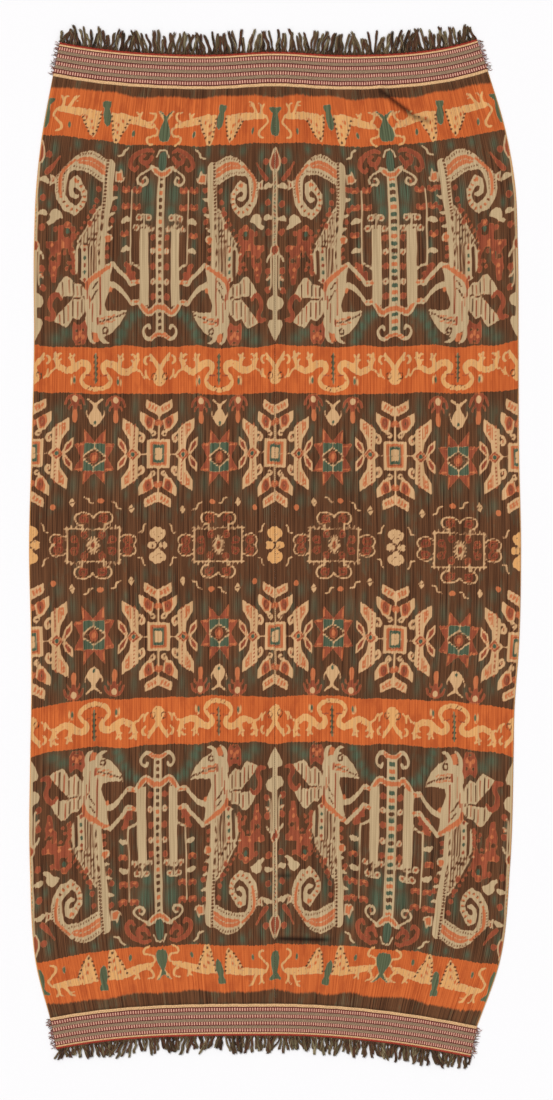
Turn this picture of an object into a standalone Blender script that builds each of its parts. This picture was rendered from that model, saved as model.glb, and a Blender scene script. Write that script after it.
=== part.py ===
"""Warp ikat shoulder cloth, laid flat and face up: two loom panels joined at a centre seam, a twined
band and a cut fringe across each end, and the short yarn ends of each band at its two corners.

Metres, +Z up, +X across the cloth, +Y along the warp. The origin is on the floor under the middle.
Every sheet starts as its underside, resting on the floor, and is extruded straight up."""

import math
from collections import namedtuple

import bmesh
import bpy
import numpy as np

# Thicknesses and gaps
PANEL_THICKNESS = 0.0015
BAND_THICKNESS = 0.0024
FRINGE_THICKNESS = 0.0020
GAP = 0.0003

# How the cloth lies, section by section from the top end to the bottom end. Each section is a line of
# weft: y is its height at the seam, left and right are its half widths, and left_rise and right_rise
# are how much higher its selvedge ends lie than its middle.
Section = namedtuple("Section", "y left right left_rise right_rise")
SECTIONS = (
    Section(1.124, 0.542, 0.520, 0.034, 0.045),
    Section(0.988, 0.568, 0.561, 0.029, 0.044),
    Section(0.856, 0.583, 0.586, 0.024, 0.034),
    Section(0.734, 0.588, 0.592, 0.017, 0.024),
    Section(0.490, 0.588, 0.594, 0.005, 0.012),
    Section(0.246, 0.594, 0.595, 0.002, 0.005),
    Section(0.000, 0.600, 0.600, 0.000, 0.000),
    Section(-0.217, 0.595, 0.595, -0.015, -0.015),
    Section(-0.356, 0.595, 0.584, -0.029, -0.032),
    Section(-0.461, 0.597, 0.582, -0.032, -0.032),
    Section(-0.730, 0.598, 0.573, -0.039, -0.041),
    Section(-0.959, 0.583, 0.546, -0.049, -0.051),
    Section(-1.104, 0.549, 0.493, -0.035, -0.055),
)
TOP_END = SECTIONS[0].y
BOTTOM_END = SECTIONS[-1].y
# A line of weft bends as a power of the share of the way to the selvedge.
LEFT_BEND = 3.2
RIGHT_BEND_TOP = 4.0
RIGHT_BEND_BOTTOM = 1.9
# The seam is drawn up towards the top end, in a hump this wide as a share of a panel.
SEAM_DRAW = 0.009
SEAM_DRAW_WIDTH = 0.20

# The twined bands and their fringes
TOP_BAND_HEIGHT = 0.085
BOTTOM_BAND_HEIGHT = 0.078
BACKING_WIDTH = 0.0035
TOP_FRINGE_LENGTH = 0.052
BOTTOM_FRINGE_LENGTH = 0.040
FRINGE_LOCKS = 84
LOCK_WIDTH = 0.0085
LOCK_SPREAD = 0.34
LOCK_UNEVENNESS = 0.16
LOCK_SWAY = 0.0014
CORNER_SHORTENING = 0.42
FRAY_YARNS = 7
FRAY_WIDTH = 0.0024
FRAY_LENGTH = 0.015
FRAY_BACKING = 0.0020
FRAY_INSET = 0.0030
FRAY_UNEVENNESS = 0.40
# A lock narrows to these shares of its width at these shares of its length.
Taper = namedtuple("Taper", "along width")
LOCK_TAPER = (Taper(0.55, 0.90), Taper(1.00, 0.36))

# Folds: each is a soft ridge along a line, from one point to another, with its height and half width.
Fold = namedtuple("Fold", "x0 y0 x1 y1 height width")
FOLDS = (
    Fold(0.252, 1.128, 0.338, 1.062, 0.0085, 0.0080),
    Fold(0.338, 1.062, 0.376, 1.050, 0.0060, 0.0070),
    Fold(0.004, -0.942, 0.130, -0.945, 0.0070, 0.0070),
    Fold(0.004, -0.789, 0.040, -0.788, 0.0050, 0.0070),
)
FOLD_FADE = 0.15
# Next to each band the wider cloth is eased into the band, in soft vertical puckers.
PUCKER_HEIGHT = 0.0034
PUCKER_PITCH = 0.118
PUCKER_REACH = 0.070
PUCKER_WANDER = 1.3
PUCKER_WANDER_RATE = 9.0
PUCKER_EDGE = 0.10

# Mesh spacing of the panels: away from the folds, and near them
COARSE_ACROSS = 0.0270
COARSE_ALONG = 0.0760
FOLD_STEP_ACROSS = 0.0150
FOLD_STEP_ALONG = 0.0070
BAND_CELLS_ACROSS = 3


def section_value(column, y):
    """The table's column at height y, by a cubic through the sections with slopes from neighbours."""
    heights = np.array([row.y for row in SECTIONS])[::-1]
    values = np.array([getattr(row, column) for row in SECTIONS])[::-1]
    slopes = np.gradient(values, heights)
    y = np.clip(y, heights[0], heights[-1])
    i = np.clip(np.searchsorted(heights, y, side="right") - 1, 0, len(heights) - 2)
    step = heights[i + 1] - heights[i]
    t = (y - heights[i]) / step
    start = (1 + 2 * t) * (1 - t) ** 2 * values[i] + t * (1 - t) ** 2 * step * slopes[i]
    end = t * t * (3 - 2 * t) * values[i + 1] + t * t * (t - 1) * step * slopes[i + 1]
    return start + end


def lay(share, y):
    """The floor point of the warp at this share of the way from the seam (-1 left selvedge, 1 right)
    on the line of weft that crosses the seam at height y."""
    share, y = np.broadcast_arrays(np.asarray(share, float), np.asarray(y, float))
    left = share < 0
    width = np.where(left, section_value("left", y), section_value("right", y))
    rise = np.where(left, section_value("left_rise", y), section_value("right_rise", y))
    down = (TOP_END - y) / (TOP_END - BOTTOM_END)
    right_bend = RIGHT_BEND_TOP + (RIGHT_BEND_BOTTOM - RIGHT_BEND_TOP) * down
    bend = np.where(left, LEFT_BEND, right_bend)
    drawn = SEAM_DRAW * np.clip(y / TOP_END, 0, 1) * np.exp(-((share / SEAM_DRAW_WIDTH) ** 2))
    return share * width, y + rise * np.abs(share) ** bend + drawn


def ridge(x, y, fold):
    """Height of one fold: a bell across its line, fading out at its two ends."""
    along = np.array([fold.x1 - fold.x0, fold.y1 - fold.y0])
    length = np.hypot(*along)
    ux, uy = along / length
    t = ((x - fold.x0) * ux + (y - fold.y0) * uy) / length
    away = -(x - fold.x0) * uy + (y - fold.y0) * ux
    taper = np.clip(np.minimum(t + FOLD_FADE, 1 + FOLD_FADE - t) / (2 * FOLD_FADE), 0, 1)
    return fold.height * np.exp(-((away / fold.width) ** 2)) * taper * taper * (3 - 2 * taper)


def relief(x, y, share, station):
    """How far the underside is lifted off the floor: the folds, and the puckers beside the bands."""
    height = sum(ridge(x, y, fold) for fold in FOLDS)
    from_end = np.minimum(TOP_END - station, station - BOTTOM_END)
    fade = np.clip(1 - from_end / PUCKER_REACH, 0, 1) ** 2
    wander = PUCKER_WANDER * np.sin(PUCKER_WANDER_RATE * x)
    wave = np.sin(2 * math.pi * x / PUCKER_PITCH + wander) ** 2
    edge = np.clip(np.minimum(1 - np.abs(share), np.abs(share)) / PUCKER_EDGE, 0, 1)
    return height + PUCKER_HEIGHT * fade * wave * edge


def cotton(name, colour):
    """A matt dyed cotton material with this colour."""
    material = bpy.data.materials.new(name)
    material.use_nodes = True
    shader = material.node_tree.nodes["Principled BSDF"]
    shader.inputs["Base Color"].default_value = (*colour, 1)
    shader.inputs["Roughness"].default_value = 0.9
    shader.inputs["Metallic"].default_value = 0.0
    return material


def raised_sheet(name, points, faces, thickness, material):
    """A closed sheet: the underside's points and faces, extruded straight up by the thickness."""
    shape = bmesh.new()
    corners = [shape.verts.new(tuple(point)) for point in points]
    for face in faces:
        shape.faces.new([corners[i] for i in face])
    raised = bmesh.ops.extrude_face_region(shape, geom=shape.faces[:], use_keep_orig=True)
    top = [item for item in raised["geom"] if isinstance(item, bmesh.types.BMVert)]
    bmesh.ops.translate(shape, vec=(0, 0, thickness), verts=top)
    bmesh.ops.recalc_face_normals(shape, faces=shape.faces[:])
    mesh = bpy.data.meshes.new(name)
    shape.to_mesh(mesh)
    shape.free()
    mesh.materials.append(material)
    mesh.shade_smooth()
    mesh.set_sharp_from_angle(angle=math.radians(60))
    sheet = bpy.data.objects.new(name, mesh)
    bpy.context.scene.collection.objects.link(sheet)
    return sheet


def grid_faces(rows, columns):
    """Quads over a grid of points stored row by row."""
    return [
        (i * columns + j, i * columns + j + 1, (i + 1) * columns + j + 1, (i + 1) * columns + j)
        for i in range(rows - 1)
        for j in range(columns - 1)
    ]


def spaced(start, end, step):
    """Evenly spaced values from start to end, no further apart than step."""
    return np.linspace(start, end, max(2, math.ceil(abs(end - start) / step) + 1))


def with_close_lines(lines, spans, step):
    """The lines, with closer ones in each span, and none of the first ones there."""
    kept = [value for value in lines if all(not low < value < high for low, high in spans)]
    for low, high in spans:
        kept += list(spaced(low, high, step))
    kept = sorted(kept)
    return np.array([v for i, v in enumerate(kept) if i == 0 or v - kept[i - 1] > step / 3])


def panel_lines(side):
    """The shares of a panel's warp lines and the heights of its weft lines, closer near folds."""
    half_width = max(row.left for row in SECTIONS)
    shares = spaced(GAP / 2 / half_width, 1, COARSE_ACROSS / half_width)
    stations = spaced(BOTTOM_END, TOP_END, COARSE_ALONG)
    near = [fold for fold in FOLDS if side * fold.x1 > 0]
    if near:
        slanted = [fold for fold in near if fold.y0 > 0]
        low = min(fold.x0 for fold in slanted) / half_width
        high = max(fold.x1 for fold in slanted) / half_width + 2 * FOLD_STEP_ACROSS
        shares = with_close_lines(shares, [(low, high)], FOLD_STEP_ACROSS / half_width)
        spans = [(min(fold.y1 for fold in slanted) - FOLD_STEP_ACROSS, TOP_END)]
        for fold in near:
            if fold.y0 < 0:
                spans.append((fold.y1 - 3 * fold.width, fold.y0 + 3 * fold.width))
        stations = with_close_lines(stations, spans, FOLD_STEP_ALONG)
    return shares, stations


def panel(name, side, material):
    """One loom panel, from just beside the seam to its selvedge."""
    shares, stations = panel_lines(side)
    share, station = np.meshgrid(side * shares, stations)
    x, y = lay(share, station)
    x = np.where(np.abs(share) <= shares[0], side * GAP / 2, x)
    z = relief(x, y, share, station)
    points = np.stack([x, y, z], axis=-1).reshape(-1, 3)
    return raised_sheet(name, points, grid_faces(*share.shape), PANEL_THICKNESS, material)


def end_frame(share, end):
    """Points, outward normals and tangents of the line where a band meets the panels."""
    nudge = 1e-3
    share = np.asarray(share, float)
    x, y = lay(share, end)
    x1, y1 = lay(np.clip(share + nudge, -1, 1), end)
    x0, y0 = lay(np.clip(share - nudge, -1, 1), end)
    tangent = np.stack([x1 - x0, y1 - y0], axis=-1)
    tangent /= np.linalg.norm(tangent, axis=-1, keepdims=True)
    outward = 1.0 if end > 0 else -1.0
    normal = outward * np.stack([-tangent[..., 1], tangent[..., 0]], axis=-1)
    return np.stack([x, y], axis=-1), normal, tangent


def end_band(name, end, height, material):
    """A twined band: a strip of constant height along the end of both panels."""
    share = np.r_[-panel_lines(-1)[0][::-1], panel_lines(1)[0]]
    points, normal, _ = end_frame(share, end)
    away = np.linspace(GAP, height, BAND_CELLS_ACROSS + 1)
    plan = points[None] + away[:, None, None] * normal[None]
    station = np.full(share.shape, end)
    lift = relief(points[:, 0], points[:, 1], share, station)
    fade = np.clip(1 - away / height, 0, 1)[:, None] ** 1.5
    z = lift[None] * fade
    stacked = np.concatenate([plan, z[..., None]], axis=-1).reshape(-1, 3)
    faces = grid_faces(BAND_CELLS_ACROSS + 1, len(share))
    return raised_sheet(name, stacked, faces, BAND_THICKNESS, material)


def comb(name, inner, outer, roots, tips, bows, width, material):
    """A narrow backing strip with locks standing out of it, all in one flat surface on the floor.
    inner and outer give the strip's two edges at a share of its length. roots are the locks' middle
    shares, tips their end points, and bows how far each one's middle swings sideways."""
    points, faces = [], []
    length = np.linalg.norm(outer(1.0) - outer(0.0))
    columns = [0.0]
    for root in roots:
        columns += [root - width / 2 / length, root + width / 2 / length]
    columns.append(1.0)
    for share in columns:
        points += [inner(share), outer(share)]
    faces += [(2 * i, 2 * i + 1, 2 * i + 3, 2 * i + 2) for i in range(len(columns) - 1)]
    for k, (tip, bow) in enumerate(zip(tips, bows)):
        left, right = 2 * (2 * k + 1) + 1, 2 * (2 * k + 2) + 1
        root_left, root_right = points[left], points[right]
        middle = (root_left + root_right) / 2
        along = tip - middle
        across = (root_right - root_left) / np.linalg.norm(root_right - root_left)
        before = (left, right)
        for step in LOCK_TAPER:
            centre = middle + step.along * along + bow * math.sin(math.pi * step.along) * across
            half = step.width * width / 2 * across
            points += [centre - half, centre + half]
            after = (len(points) - 2, len(points) - 1)
            faces.append((before[0], after[0], after[1], before[1]))
            before = after
    flat = np.c_[np.array(points), np.zeros(len(points))]
    return raised_sheet(name, flat, faces, FRINGE_THICKNESS, material)


def fringe(name, end, height, length, seed, material):
    """The cut warp ends beyond a band: locks that fan outwards towards the corners."""
    draw = np.random.default_rng(seed)

    def edge(away):
        def at(share):
            point, normal, _ = end_frame(2 * share - 1, end)
            return point + away * normal

        return at

    inner, outer = edge(height + GAP), edge(height + GAP + BACKING_WIDTH)
    pitch = 1 / FRINGE_LOCKS
    roots = (np.arange(FRINGE_LOCKS) + 0.5) * pitch
    tips, bows = [], []
    for root in roots:
        point, normal, tangent = end_frame(2 * root - 1, end)
        start = point + (height + GAP + BACKING_WIDTH) * normal
        reach = length * (1 + draw.uniform(-LOCK_UNEVENNESS, LOCK_UNEVENNESS))
        reach *= 1 - CORNER_SHORTENING * abs(2 * root - 1) ** 8
        lean = LOCK_SPREAD * (2 * root - 1) * reach + draw.uniform(-LOCK_SWAY, LOCK_SWAY)
        tips.append(start + reach * normal + lean * tangent)
        bows.append(draw.uniform(-LOCK_SWAY, LOCK_SWAY))
    return comb(name, inner, outer, roots, tips, bows, LOCK_WIDTH, material)


def fray(name, end, height, side, seed, material):
    """The short yarn ends that stick out of one end of a band."""
    draw = np.random.default_rng(seed)
    point, normal, tangent = end_frame(float(side), end)
    out = side * tangent

    def edge(away):
        def at(share):
            return point + (FRAY_INSET + share * (height - 2 * FRAY_INSET)) * normal + away * out

        return at

    inner, outer = edge(GAP), edge(GAP + FRAY_BACKING)
    roots = (np.arange(FRAY_YARNS) + 0.5) / FRAY_YARNS
    tips, bows = [], []
    for root in roots:
        reach = FRAY_LENGTH * (1 + draw.uniform(-FRAY_UNEVENNESS, FRAY_UNEVENNESS))
        tips.append(outer(root) + reach * out + draw.uniform(-1, 1) * FRAY_WIDTH * normal)
        bows.append(draw.uniform(-LOCK_SWAY, LOCK_SWAY) / 2)
    return comb(name, inner, outer, roots, tips, bows, FRAY_WIDTH, material)


def main():
    for thing in list(bpy.data.objects):
        bpy.data.objects.remove(thing, do_unlink=True)
    ikat = cotton("warp_ikat_cotton", (0.15, 0.075, 0.045))
    twined = cotton("twined_band_cotton", (0.30, 0.17, 0.12))
    warp_ends = cotton("cut_warp_ends", (0.10, 0.07, 0.045))
    band_ends = cotton("band_yarn_ends", (0.35, 0.10, 0.08))
    panel("panel_left", -1, ikat)
    panel("panel_right", 1, ikat)
    end_band("band_top", TOP_END, TOP_BAND_HEIGHT, twined)
    end_band("band_bottom", BOTTOM_END, BOTTOM_BAND_HEIGHT, twined)
    fringe("fringe_top", TOP_END, TOP_BAND_HEIGHT, TOP_FRINGE_LENGTH, 3, warp_ends)
    fringe("fringe_bottom", BOTTOM_END, BOTTOM_BAND_HEIGHT, BOTTOM_FRINGE_LENGTH, 5, warp_ends)
    corners = (
        ("fray_top_left", TOP_END, TOP_BAND_HEIGHT, -1),
        ("fray_top_right", TOP_END, TOP_BAND_HEIGHT, 1),
        ("fray_bottom_left", BOTTOM_END, BOTTOM_BAND_HEIGHT, -1),
        ("fray_bottom_right", BOTTOM_END, BOTTOM_BAND_HEIGHT, 1),
    )
    for seed, (name, end, height, side) in enumerate(corners):
        fray(name, end, height, side, 20 + seed, band_ends)


main()
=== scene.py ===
import math
from collections import namedtuple

import bpy
import numpy as np
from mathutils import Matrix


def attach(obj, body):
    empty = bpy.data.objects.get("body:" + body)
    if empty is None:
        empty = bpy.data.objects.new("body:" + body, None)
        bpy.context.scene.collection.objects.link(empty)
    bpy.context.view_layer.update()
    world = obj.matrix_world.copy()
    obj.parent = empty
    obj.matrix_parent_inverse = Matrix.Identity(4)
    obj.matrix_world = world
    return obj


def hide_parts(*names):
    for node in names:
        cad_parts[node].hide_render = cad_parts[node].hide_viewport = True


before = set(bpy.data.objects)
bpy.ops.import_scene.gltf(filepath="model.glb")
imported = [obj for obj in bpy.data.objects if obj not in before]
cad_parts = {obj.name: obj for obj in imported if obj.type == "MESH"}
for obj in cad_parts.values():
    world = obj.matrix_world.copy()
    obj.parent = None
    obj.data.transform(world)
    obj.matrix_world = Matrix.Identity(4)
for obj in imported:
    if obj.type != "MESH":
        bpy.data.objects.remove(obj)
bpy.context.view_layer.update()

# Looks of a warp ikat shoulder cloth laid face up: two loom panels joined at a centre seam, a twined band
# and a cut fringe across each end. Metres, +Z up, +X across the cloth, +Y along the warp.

# A tie is a bundle of warp threads tied together: the dye chart's unit, and 1 px of the photograph
TIE = 0.00244
PHOTO_WIDTH, PHOTO_HEIGHT = 553, 1100
PHOTO_SEAM = 275.0
PHOTO_MIDDLE = 551.0
# The chart's mid line on the cloth, a panel's width in ties, and its axis as a share of the width
CHART_MIDDLE = 0.0146
PANEL_TIES = 243.0
AXIS_SHARE = 0.478
RIGHT_AXIS_SHARE = 0.492
# The axis and the mid line of the upper left quarter in the photograph
PLAN_AXIS = 160.0
PLAN_MIDDLE = 545.0

# How the cloth lies, as in the part's source: first its thickness, then its ends and edges
PANEL_THICKNESS = 0.0015
BAND_THICKNESS = 0.0024
GAP = 0.0003
Section = namedtuple("Section", "y left right left_rise right_rise")
SECTIONS = (
    Section(1.124, 0.542, 0.520, 0.034, 0.045),
    Section(0.988, 0.568, 0.561, 0.029, 0.044),
    Section(0.856, 0.583, 0.586, 0.024, 0.034),
    Section(0.734, 0.588, 0.592, 0.017, 0.024),
    Section(0.490, 0.588, 0.594, 0.005, 0.012),
    Section(0.246, 0.594, 0.595, 0.002, 0.005),
    Section(0.000, 0.600, 0.600, 0.000, 0.000),
    Section(-0.217, 0.595, 0.595, -0.015, -0.015),
    Section(-0.356, 0.595, 0.584, -0.029, -0.032),
    Section(-0.461, 0.597, 0.582, -0.032, -0.032),
    Section(-0.730, 0.598, 0.573, -0.039, -0.041),
    Section(-0.959, 0.583, 0.546, -0.049, -0.051),
    Section(-1.104, 0.549, 0.493, -0.035, -0.055),
)
TOP_END = SECTIONS[0].y
BOTTOM_END = SECTIONS[-1].y
# How the weft bends toward the selvedges, and how far the seam is drawn up
LEFT_BEND = 3.2
RIGHT_BEND_TOP = 4.0
RIGHT_BEND_BOTTOM = 1.9
SEAM_DRAW = 0.009
SEAM_DRAW_WIDTH = 0.20
# The bands, and the fringes beyond them
TOP_BAND_HEIGHT = 0.085
BOTTOM_BAND_HEIGHT = 0.078
TOP_FRINGE_LENGTH = 0.052
BOTTOM_FRINGE_LENGTH = 0.040
# The folds, the painted shade along each one's crease, and the puckers beside the bands
Fold = namedtuple("Fold", "x0 y0 x1 y1 height width")
FOLDS = (
    Fold(0.252, 1.128, 0.338, 1.062, 0.0085, 0.0080),
    Fold(0.338, 1.062, 0.376, 1.050, 0.0060, 0.0070),
    Fold(0.004, -0.942, 0.130, -0.945, 0.0070, 0.0070),
    Fold(0.004, -0.789, 0.040, -0.788, 0.0050, 0.0070),
)
FOLD_FADE = 0.15
CREASE_WIDTH = 0.0054
CREASE_SHIFT = 0.0020
CREASE_DARKNESS = (0.95, 0.50, 0.95, 0.55)
PUCKER_HEIGHT = 0.0034
PUCKER_PITCH = 0.118
PUCKER_REACH = 0.070
PUCKER_WANDER = 1.3
PUCKER_WANDER_RATE = 9.0
PUCKER_EDGE = 0.10


def section_value(column, y):
    """The table's column at height y, by a cubic through the sections with slopes from neighbours."""
    heights = np.array([row.y for row in SECTIONS])[::-1]
    values = np.array([getattr(row, column) for row in SECTIONS])[::-1]
    slopes = np.gradient(values, heights)
    y = np.clip(y, heights[0], heights[-1])
    i = np.clip(np.searchsorted(heights, y, side="right") - 1, 0, len(heights) - 2)
    step = heights[i + 1] - heights[i]
    t = (y - heights[i]) / step
    start = (1 + 2 * t) * (1 - t) ** 2 * values[i] + t * (1 - t) ** 2 * step * slopes[i]
    end = t * t * (3 - 2 * t) * values[i + 1] + t * t * (t - 1) * step * slopes[i + 1]
    return start + end


def lay(share, y):
    """The floor point of the warp at this share of the way from the seam (-1 left selvedge, 1 right)
    on the line of weft that crosses the seam at height y."""
    share, y = np.broadcast_arrays(np.asarray(share, float), np.asarray(y, float))
    left = share < 0
    width = np.where(left, section_value("left", y), section_value("right", y))
    rise = np.where(left, section_value("left_rise", y), section_value("right_rise", y))
    down = (TOP_END - y) / (TOP_END - BOTTOM_END)
    right_bend = RIGHT_BEND_TOP + (RIGHT_BEND_BOTTOM - RIGHT_BEND_TOP) * down
    bend = np.where(left, LEFT_BEND, right_bend)
    drawn = SEAM_DRAW * np.clip(y / TOP_END, 0, 1) * np.exp(-((share / SEAM_DRAW_WIDTH) ** 2))
    return share * width, y + rise * np.abs(share) ** bend + drawn


def ridge(x, y, fold):
    """Height of one fold: a bell across its line, fading out at its two ends."""
    along = np.array([fold.x1 - fold.x0, fold.y1 - fold.y0])
    length = np.hypot(*along)
    ux, uy = along / length
    t = ((x - fold.x0) * ux + (y - fold.y0) * uy) / length
    away = -(x - fold.x0) * uy + (y - fold.y0) * ux
    taper = np.clip(np.minimum(t + FOLD_FADE, 1 + FOLD_FADE - t) / (2 * FOLD_FADE), 0, 1)
    return fold.height * np.exp(-((away / fold.width) ** 2)) * taper * taper * (3 - 2 * taper)


def soil(x, y):
    """Painted shade along each fold's crease: a dark line narrower than the fold, set to its lower side
    where its shadow falls.
    """
    lines = 0
    for fold, darkness in zip(FOLDS, CREASE_DARKNESS):
        lines = lines + ridge(x, y + CREASE_SHIFT, fold._replace(height=darkness, width=CREASE_WIDTH))
    return np.clip(lines, 0, 1)


def relief(x, y, share, station):
    """How far the underside is lifted off the floor: the folds, and the puckers beside the bands."""
    height = sum(ridge(x, y, fold) for fold in FOLDS)
    from_end = np.minimum(TOP_END - station, station - BOTTOM_END)
    fade = np.clip(1 - from_end / PUCKER_REACH, 0, 1) ** 2
    wander = PUCKER_WANDER * np.sin(PUCKER_WANDER_RATE * x)
    wave = np.sin(2 * math.pi * x / PUCKER_PITCH + wander) ** 2
    edge = np.clip(np.minimum(1 - np.abs(share), np.abs(share)) / PUCKER_EDGE, 0, 1)
    return height + PUCKER_HEIGHT * fade * wave * edge


# The dye chart. A chart is drawn over a panel's points, in ties across from the panel's axis and along
# from its middle line. Each dye is a field of distances in ties, above 0 where the yarn takes it.
DEEP = 6.0
Dye = namedtuple("Dye", "red blue gold veil")
CREAM = Dye(0, 0, 0, 0)
ORANGE = Dye(1, 0, 0, 0)
TEAL = Dye(0, 1, 0, 0)
BROWN = Dye(1, 1, 0, 0)
GOLD = Dye(0, 0, 1, 0)
RUST = Dye(1, 0, 0, 1)


CURVE_STEPS = 6


def smooth(rows):
    """Points on a Catmull-Rom curve through the rows, with every column carried along."""
    p = np.array(rows, float)
    p = np.vstack([2 * p[0] - p[1], p, 2 * p[-1] - p[-2]])
    t = np.linspace(0, 1, CURVE_STEPS, endpoint=False)[:, None, None]
    a, b, c, d = p[:-3], p[1:-2], p[2:-1], p[3:]
    curve = 0.5 * (
        2 * b + (c - a) * t + (2 * a - 5 * b + 4 * c - d) * t**2 + (3 * b - a - 3 * c + d) * t**3
    )
    return np.vstack([curve.transpose(1, 0, 2).reshape(-1, p.shape[1]), p[-2]])


def follow(rows, x, y):
    """Each point's distance to the path, its place along it, and the path's half width there."""
    p = smooth(rows)
    a, b = p[:-1], p[1:]
    edge = b[:, :2] - a[:, :2]
    length = np.maximum(np.hypot(edge[:, 0], edge[:, 1]), 1e-6)
    start = np.r_[0, np.cumsum(length)[:-1]]
    px, py = x[:, None] - a[:, 0], y[:, None] - a[:, 1]
    t = np.clip((px * edge[:, 0] + py * edge[:, 1]) / length**2, 0, 1)
    away = np.hypot(px - t * edge[:, 0], py - t * edge[:, 1])
    half = a[:, 2] + t * (b[:, 2] - a[:, 2])
    best = np.argmin(away - half, axis=1)
    row = np.arange(len(x))
    place = start[best] + t[row, best] * length[best]
    return away[row, best], place, half[row, best]


def polygon_distance(corners, x, y):
    """Signed distance to a closed outline, below 0 inside it."""
    p = np.array(corners, float)
    q = np.roll(p, -1, axis=0)
    edge = q - p
    px, py = x[:, None] - p[:, 0], y[:, None] - p[:, 1]
    t = np.clip((px * edge[:, 0] + py * edge[:, 1]) / (edge**2).sum(1), 0, 1)
    away = np.hypot(px - t * edge[:, 0], py - t * edge[:, 1]).min(1)
    spans = (p[:, 1] > y[:, None]) != (q[:, 1] > y[:, None])
    rise = np.where(edge[:, 1] == 0, 1e-9, edge[:, 1])
    crosses = spans & (px < edge[:, 0] * py / rise)
    return np.where(crosses.sum(1) % 2 == 1, -away, away)


class Chart:
    """The fields of one panel's points, and their places on a plan of the panel. At first red and blue
    took everywhere. Two more fields run from 0 to 1: green where the red bath took poorly, and bright
    on the orange bands."""

    def __init__(self, across, along, fields=None):
        self.x, self.y = across.ravel(), along.ravel()
        if fields is None:
            fields = {name: np.full(self.x.size, -DEEP) for name in Dye._fields}
            fields["red"][:] = DEEP
            fields["blue"][:] = DEEP
            fields["green"] = np.zeros(self.x.size)
            fields["bright"] = np.zeros(self.x.size)
        self.fields = fields

    def as_laid(self):
        """The same fields on another plan: each point where its copy in the upper left quarter lies,
        counted across from PLAN_AXIS in the photograph's frame, and along from PLAN_MIDDLE."""
        share = AXIS_SHARE + self.x / PANEL_TIES
        x, y = lay(-share, CHART_MIDDLE + self.y * TIE)
        across = PLAN_AXIS - PHOTO_SEAM - x / TIE
        along = PLAN_MIDDLE - PHOTO_MIDDLE + y / TIE
        return Chart(across, along, self.fields)

    def near(self, low_x, low_y, high_x, high_y):
        """The points in a box and close around it, as far as a field of distances reaches."""
        inside = (self.x > low_x - DEEP) & (self.x < high_x + DEEP)
        inside &= (self.y > low_y - DEEP) & (self.y < high_y + DEEP)
        return np.flatnonzero(inside)

    def dye(self, colour, which, distance):
        """Ties or opens these points where the distance is below 0."""
        for name in Dye._fields:
            field = self.fields[name]
            if getattr(colour, name):
                field[which] = np.maximum(field[which], -distance)
            else:
                field[which] = np.minimum(field[which], distance)


class Pen:
    """Draws on a chart in a motif's own coordinates: placed at a point, mirrored by its signs, and
    widened across the panel by its stretch."""

    def __init__(self, chart, x=0.0, y=0.0, flip_x=1, flip_y=1, stretch=1.0):
        self.chart, self.x, self.y = chart, x, y
        self.fx, self.fy = flip_x * stretch, flip_y

    def points(self, low, high):
        """The chart's points near a box given in the motif's coordinates, in those coordinates."""
        xs = sorted((self.x + self.fx * low[0], self.x + self.fx * high[0]))
        ys = sorted((self.y + self.fy * low[1], self.y + self.fy * high[1]))
        which = self.chart.near(xs[0], ys[0], xs[1], ys[1])
        return which, (self.chart.x[which] - self.x) / self.fx, (self.chart.y[which] - self.y) / self.fy

    def stroke(self, colour, *rows):
        """A line through rows of x, y and half width."""
        p = np.array(rows, float)
        low, high = (p[:, :2] - p[:, 2:]).min(0), (p[:, :2] + p[:, 2:]).max(0)
        which, x, y = self.points(low, high)
        if len(which):
            away, _, half = follow(rows, x, y)
            self.chart.dye(colour, which, (away - half) * abs(self.fx))

    def dashes(self, colour, rows, pitch, length, width):
        """Dashes along a line: their pitch, their length and half their width."""
        p = np.array(rows, float)
        low, high = (p[:, :2] - p[:, 2:]).min(0), (p[:, :2] + p[:, 2:]).max(0)
        which, x, y = self.points(low, high)
        if len(which):
            away, place, _ = follow(rows, x, y)
            gap = np.abs((place / pitch + 0.5) % 1 - 0.5) * pitch - length / 2
            self.chart.dye(colour, which, np.maximum(gap, away - width))

    def area(self, colour, *corners, core=None, rim=1.8):
        """A filled outline, with a core of another colour inside its rim if one is given."""
        p = np.array(corners, float)
        which, x, y = self.points(p.min(0), p.max(0))
        if len(which):
            distance = polygon_distance(corners, x, y) * abs(self.fx)
            self.chart.dye(colour, which, distance)
            if core is not None:
                self.chart.dye(core, which, distance + rim)

    def round(self, colour, x, y, rx, ry, core=None, rim=1.4):
        """A filled oval, with a core if one is given."""
        which, px, py = self.points((x - rx, y - ry), (x + rx, y + ry))
        if len(which):
            distance = (np.hypot((px - x) / rx, (py - y) / ry) - 1) * min(rx, ry) * abs(self.fx)
            self.chart.dye(colour, which, distance)
            if core is not None:
                self.chart.dye(core, which, distance + rim)

    def ring(self, colour, x, y, rx, ry, half):
        """An oval line, half of whose width is half."""
        which, px, py = self.points((x - rx, y - ry), (x + rx, y + ry))
        if len(which):
            distance = np.abs(np.hypot((px - x) / rx, (py - y) / ry) - 1) * min(rx, ry) - half
            self.chart.dye(colour, which, distance * abs(self.fx))

    def wash(self, x, y, rx, ry, strength):
        """A soft oval where the red bath took poorly, so that the blue shows green."""
        which, px, py = self.points((x - rx, y - ry), (x + rx, y + ry))
        if len(which):
            soft = np.exp(-(((px - x) / rx) ** 2 + ((py - y) / ry) ** 2) * 1.2)
            green = self.chart.fields["green"]
            green[which] = np.maximum(green[which], strength * soft)


# The chart's edge from the panel's axis, and the orange bands' ends from the mid line, in ties
EDGE = 126.0
BAND_ENDS = ((399.0, 446.0), (151.0, 197.5))


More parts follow.
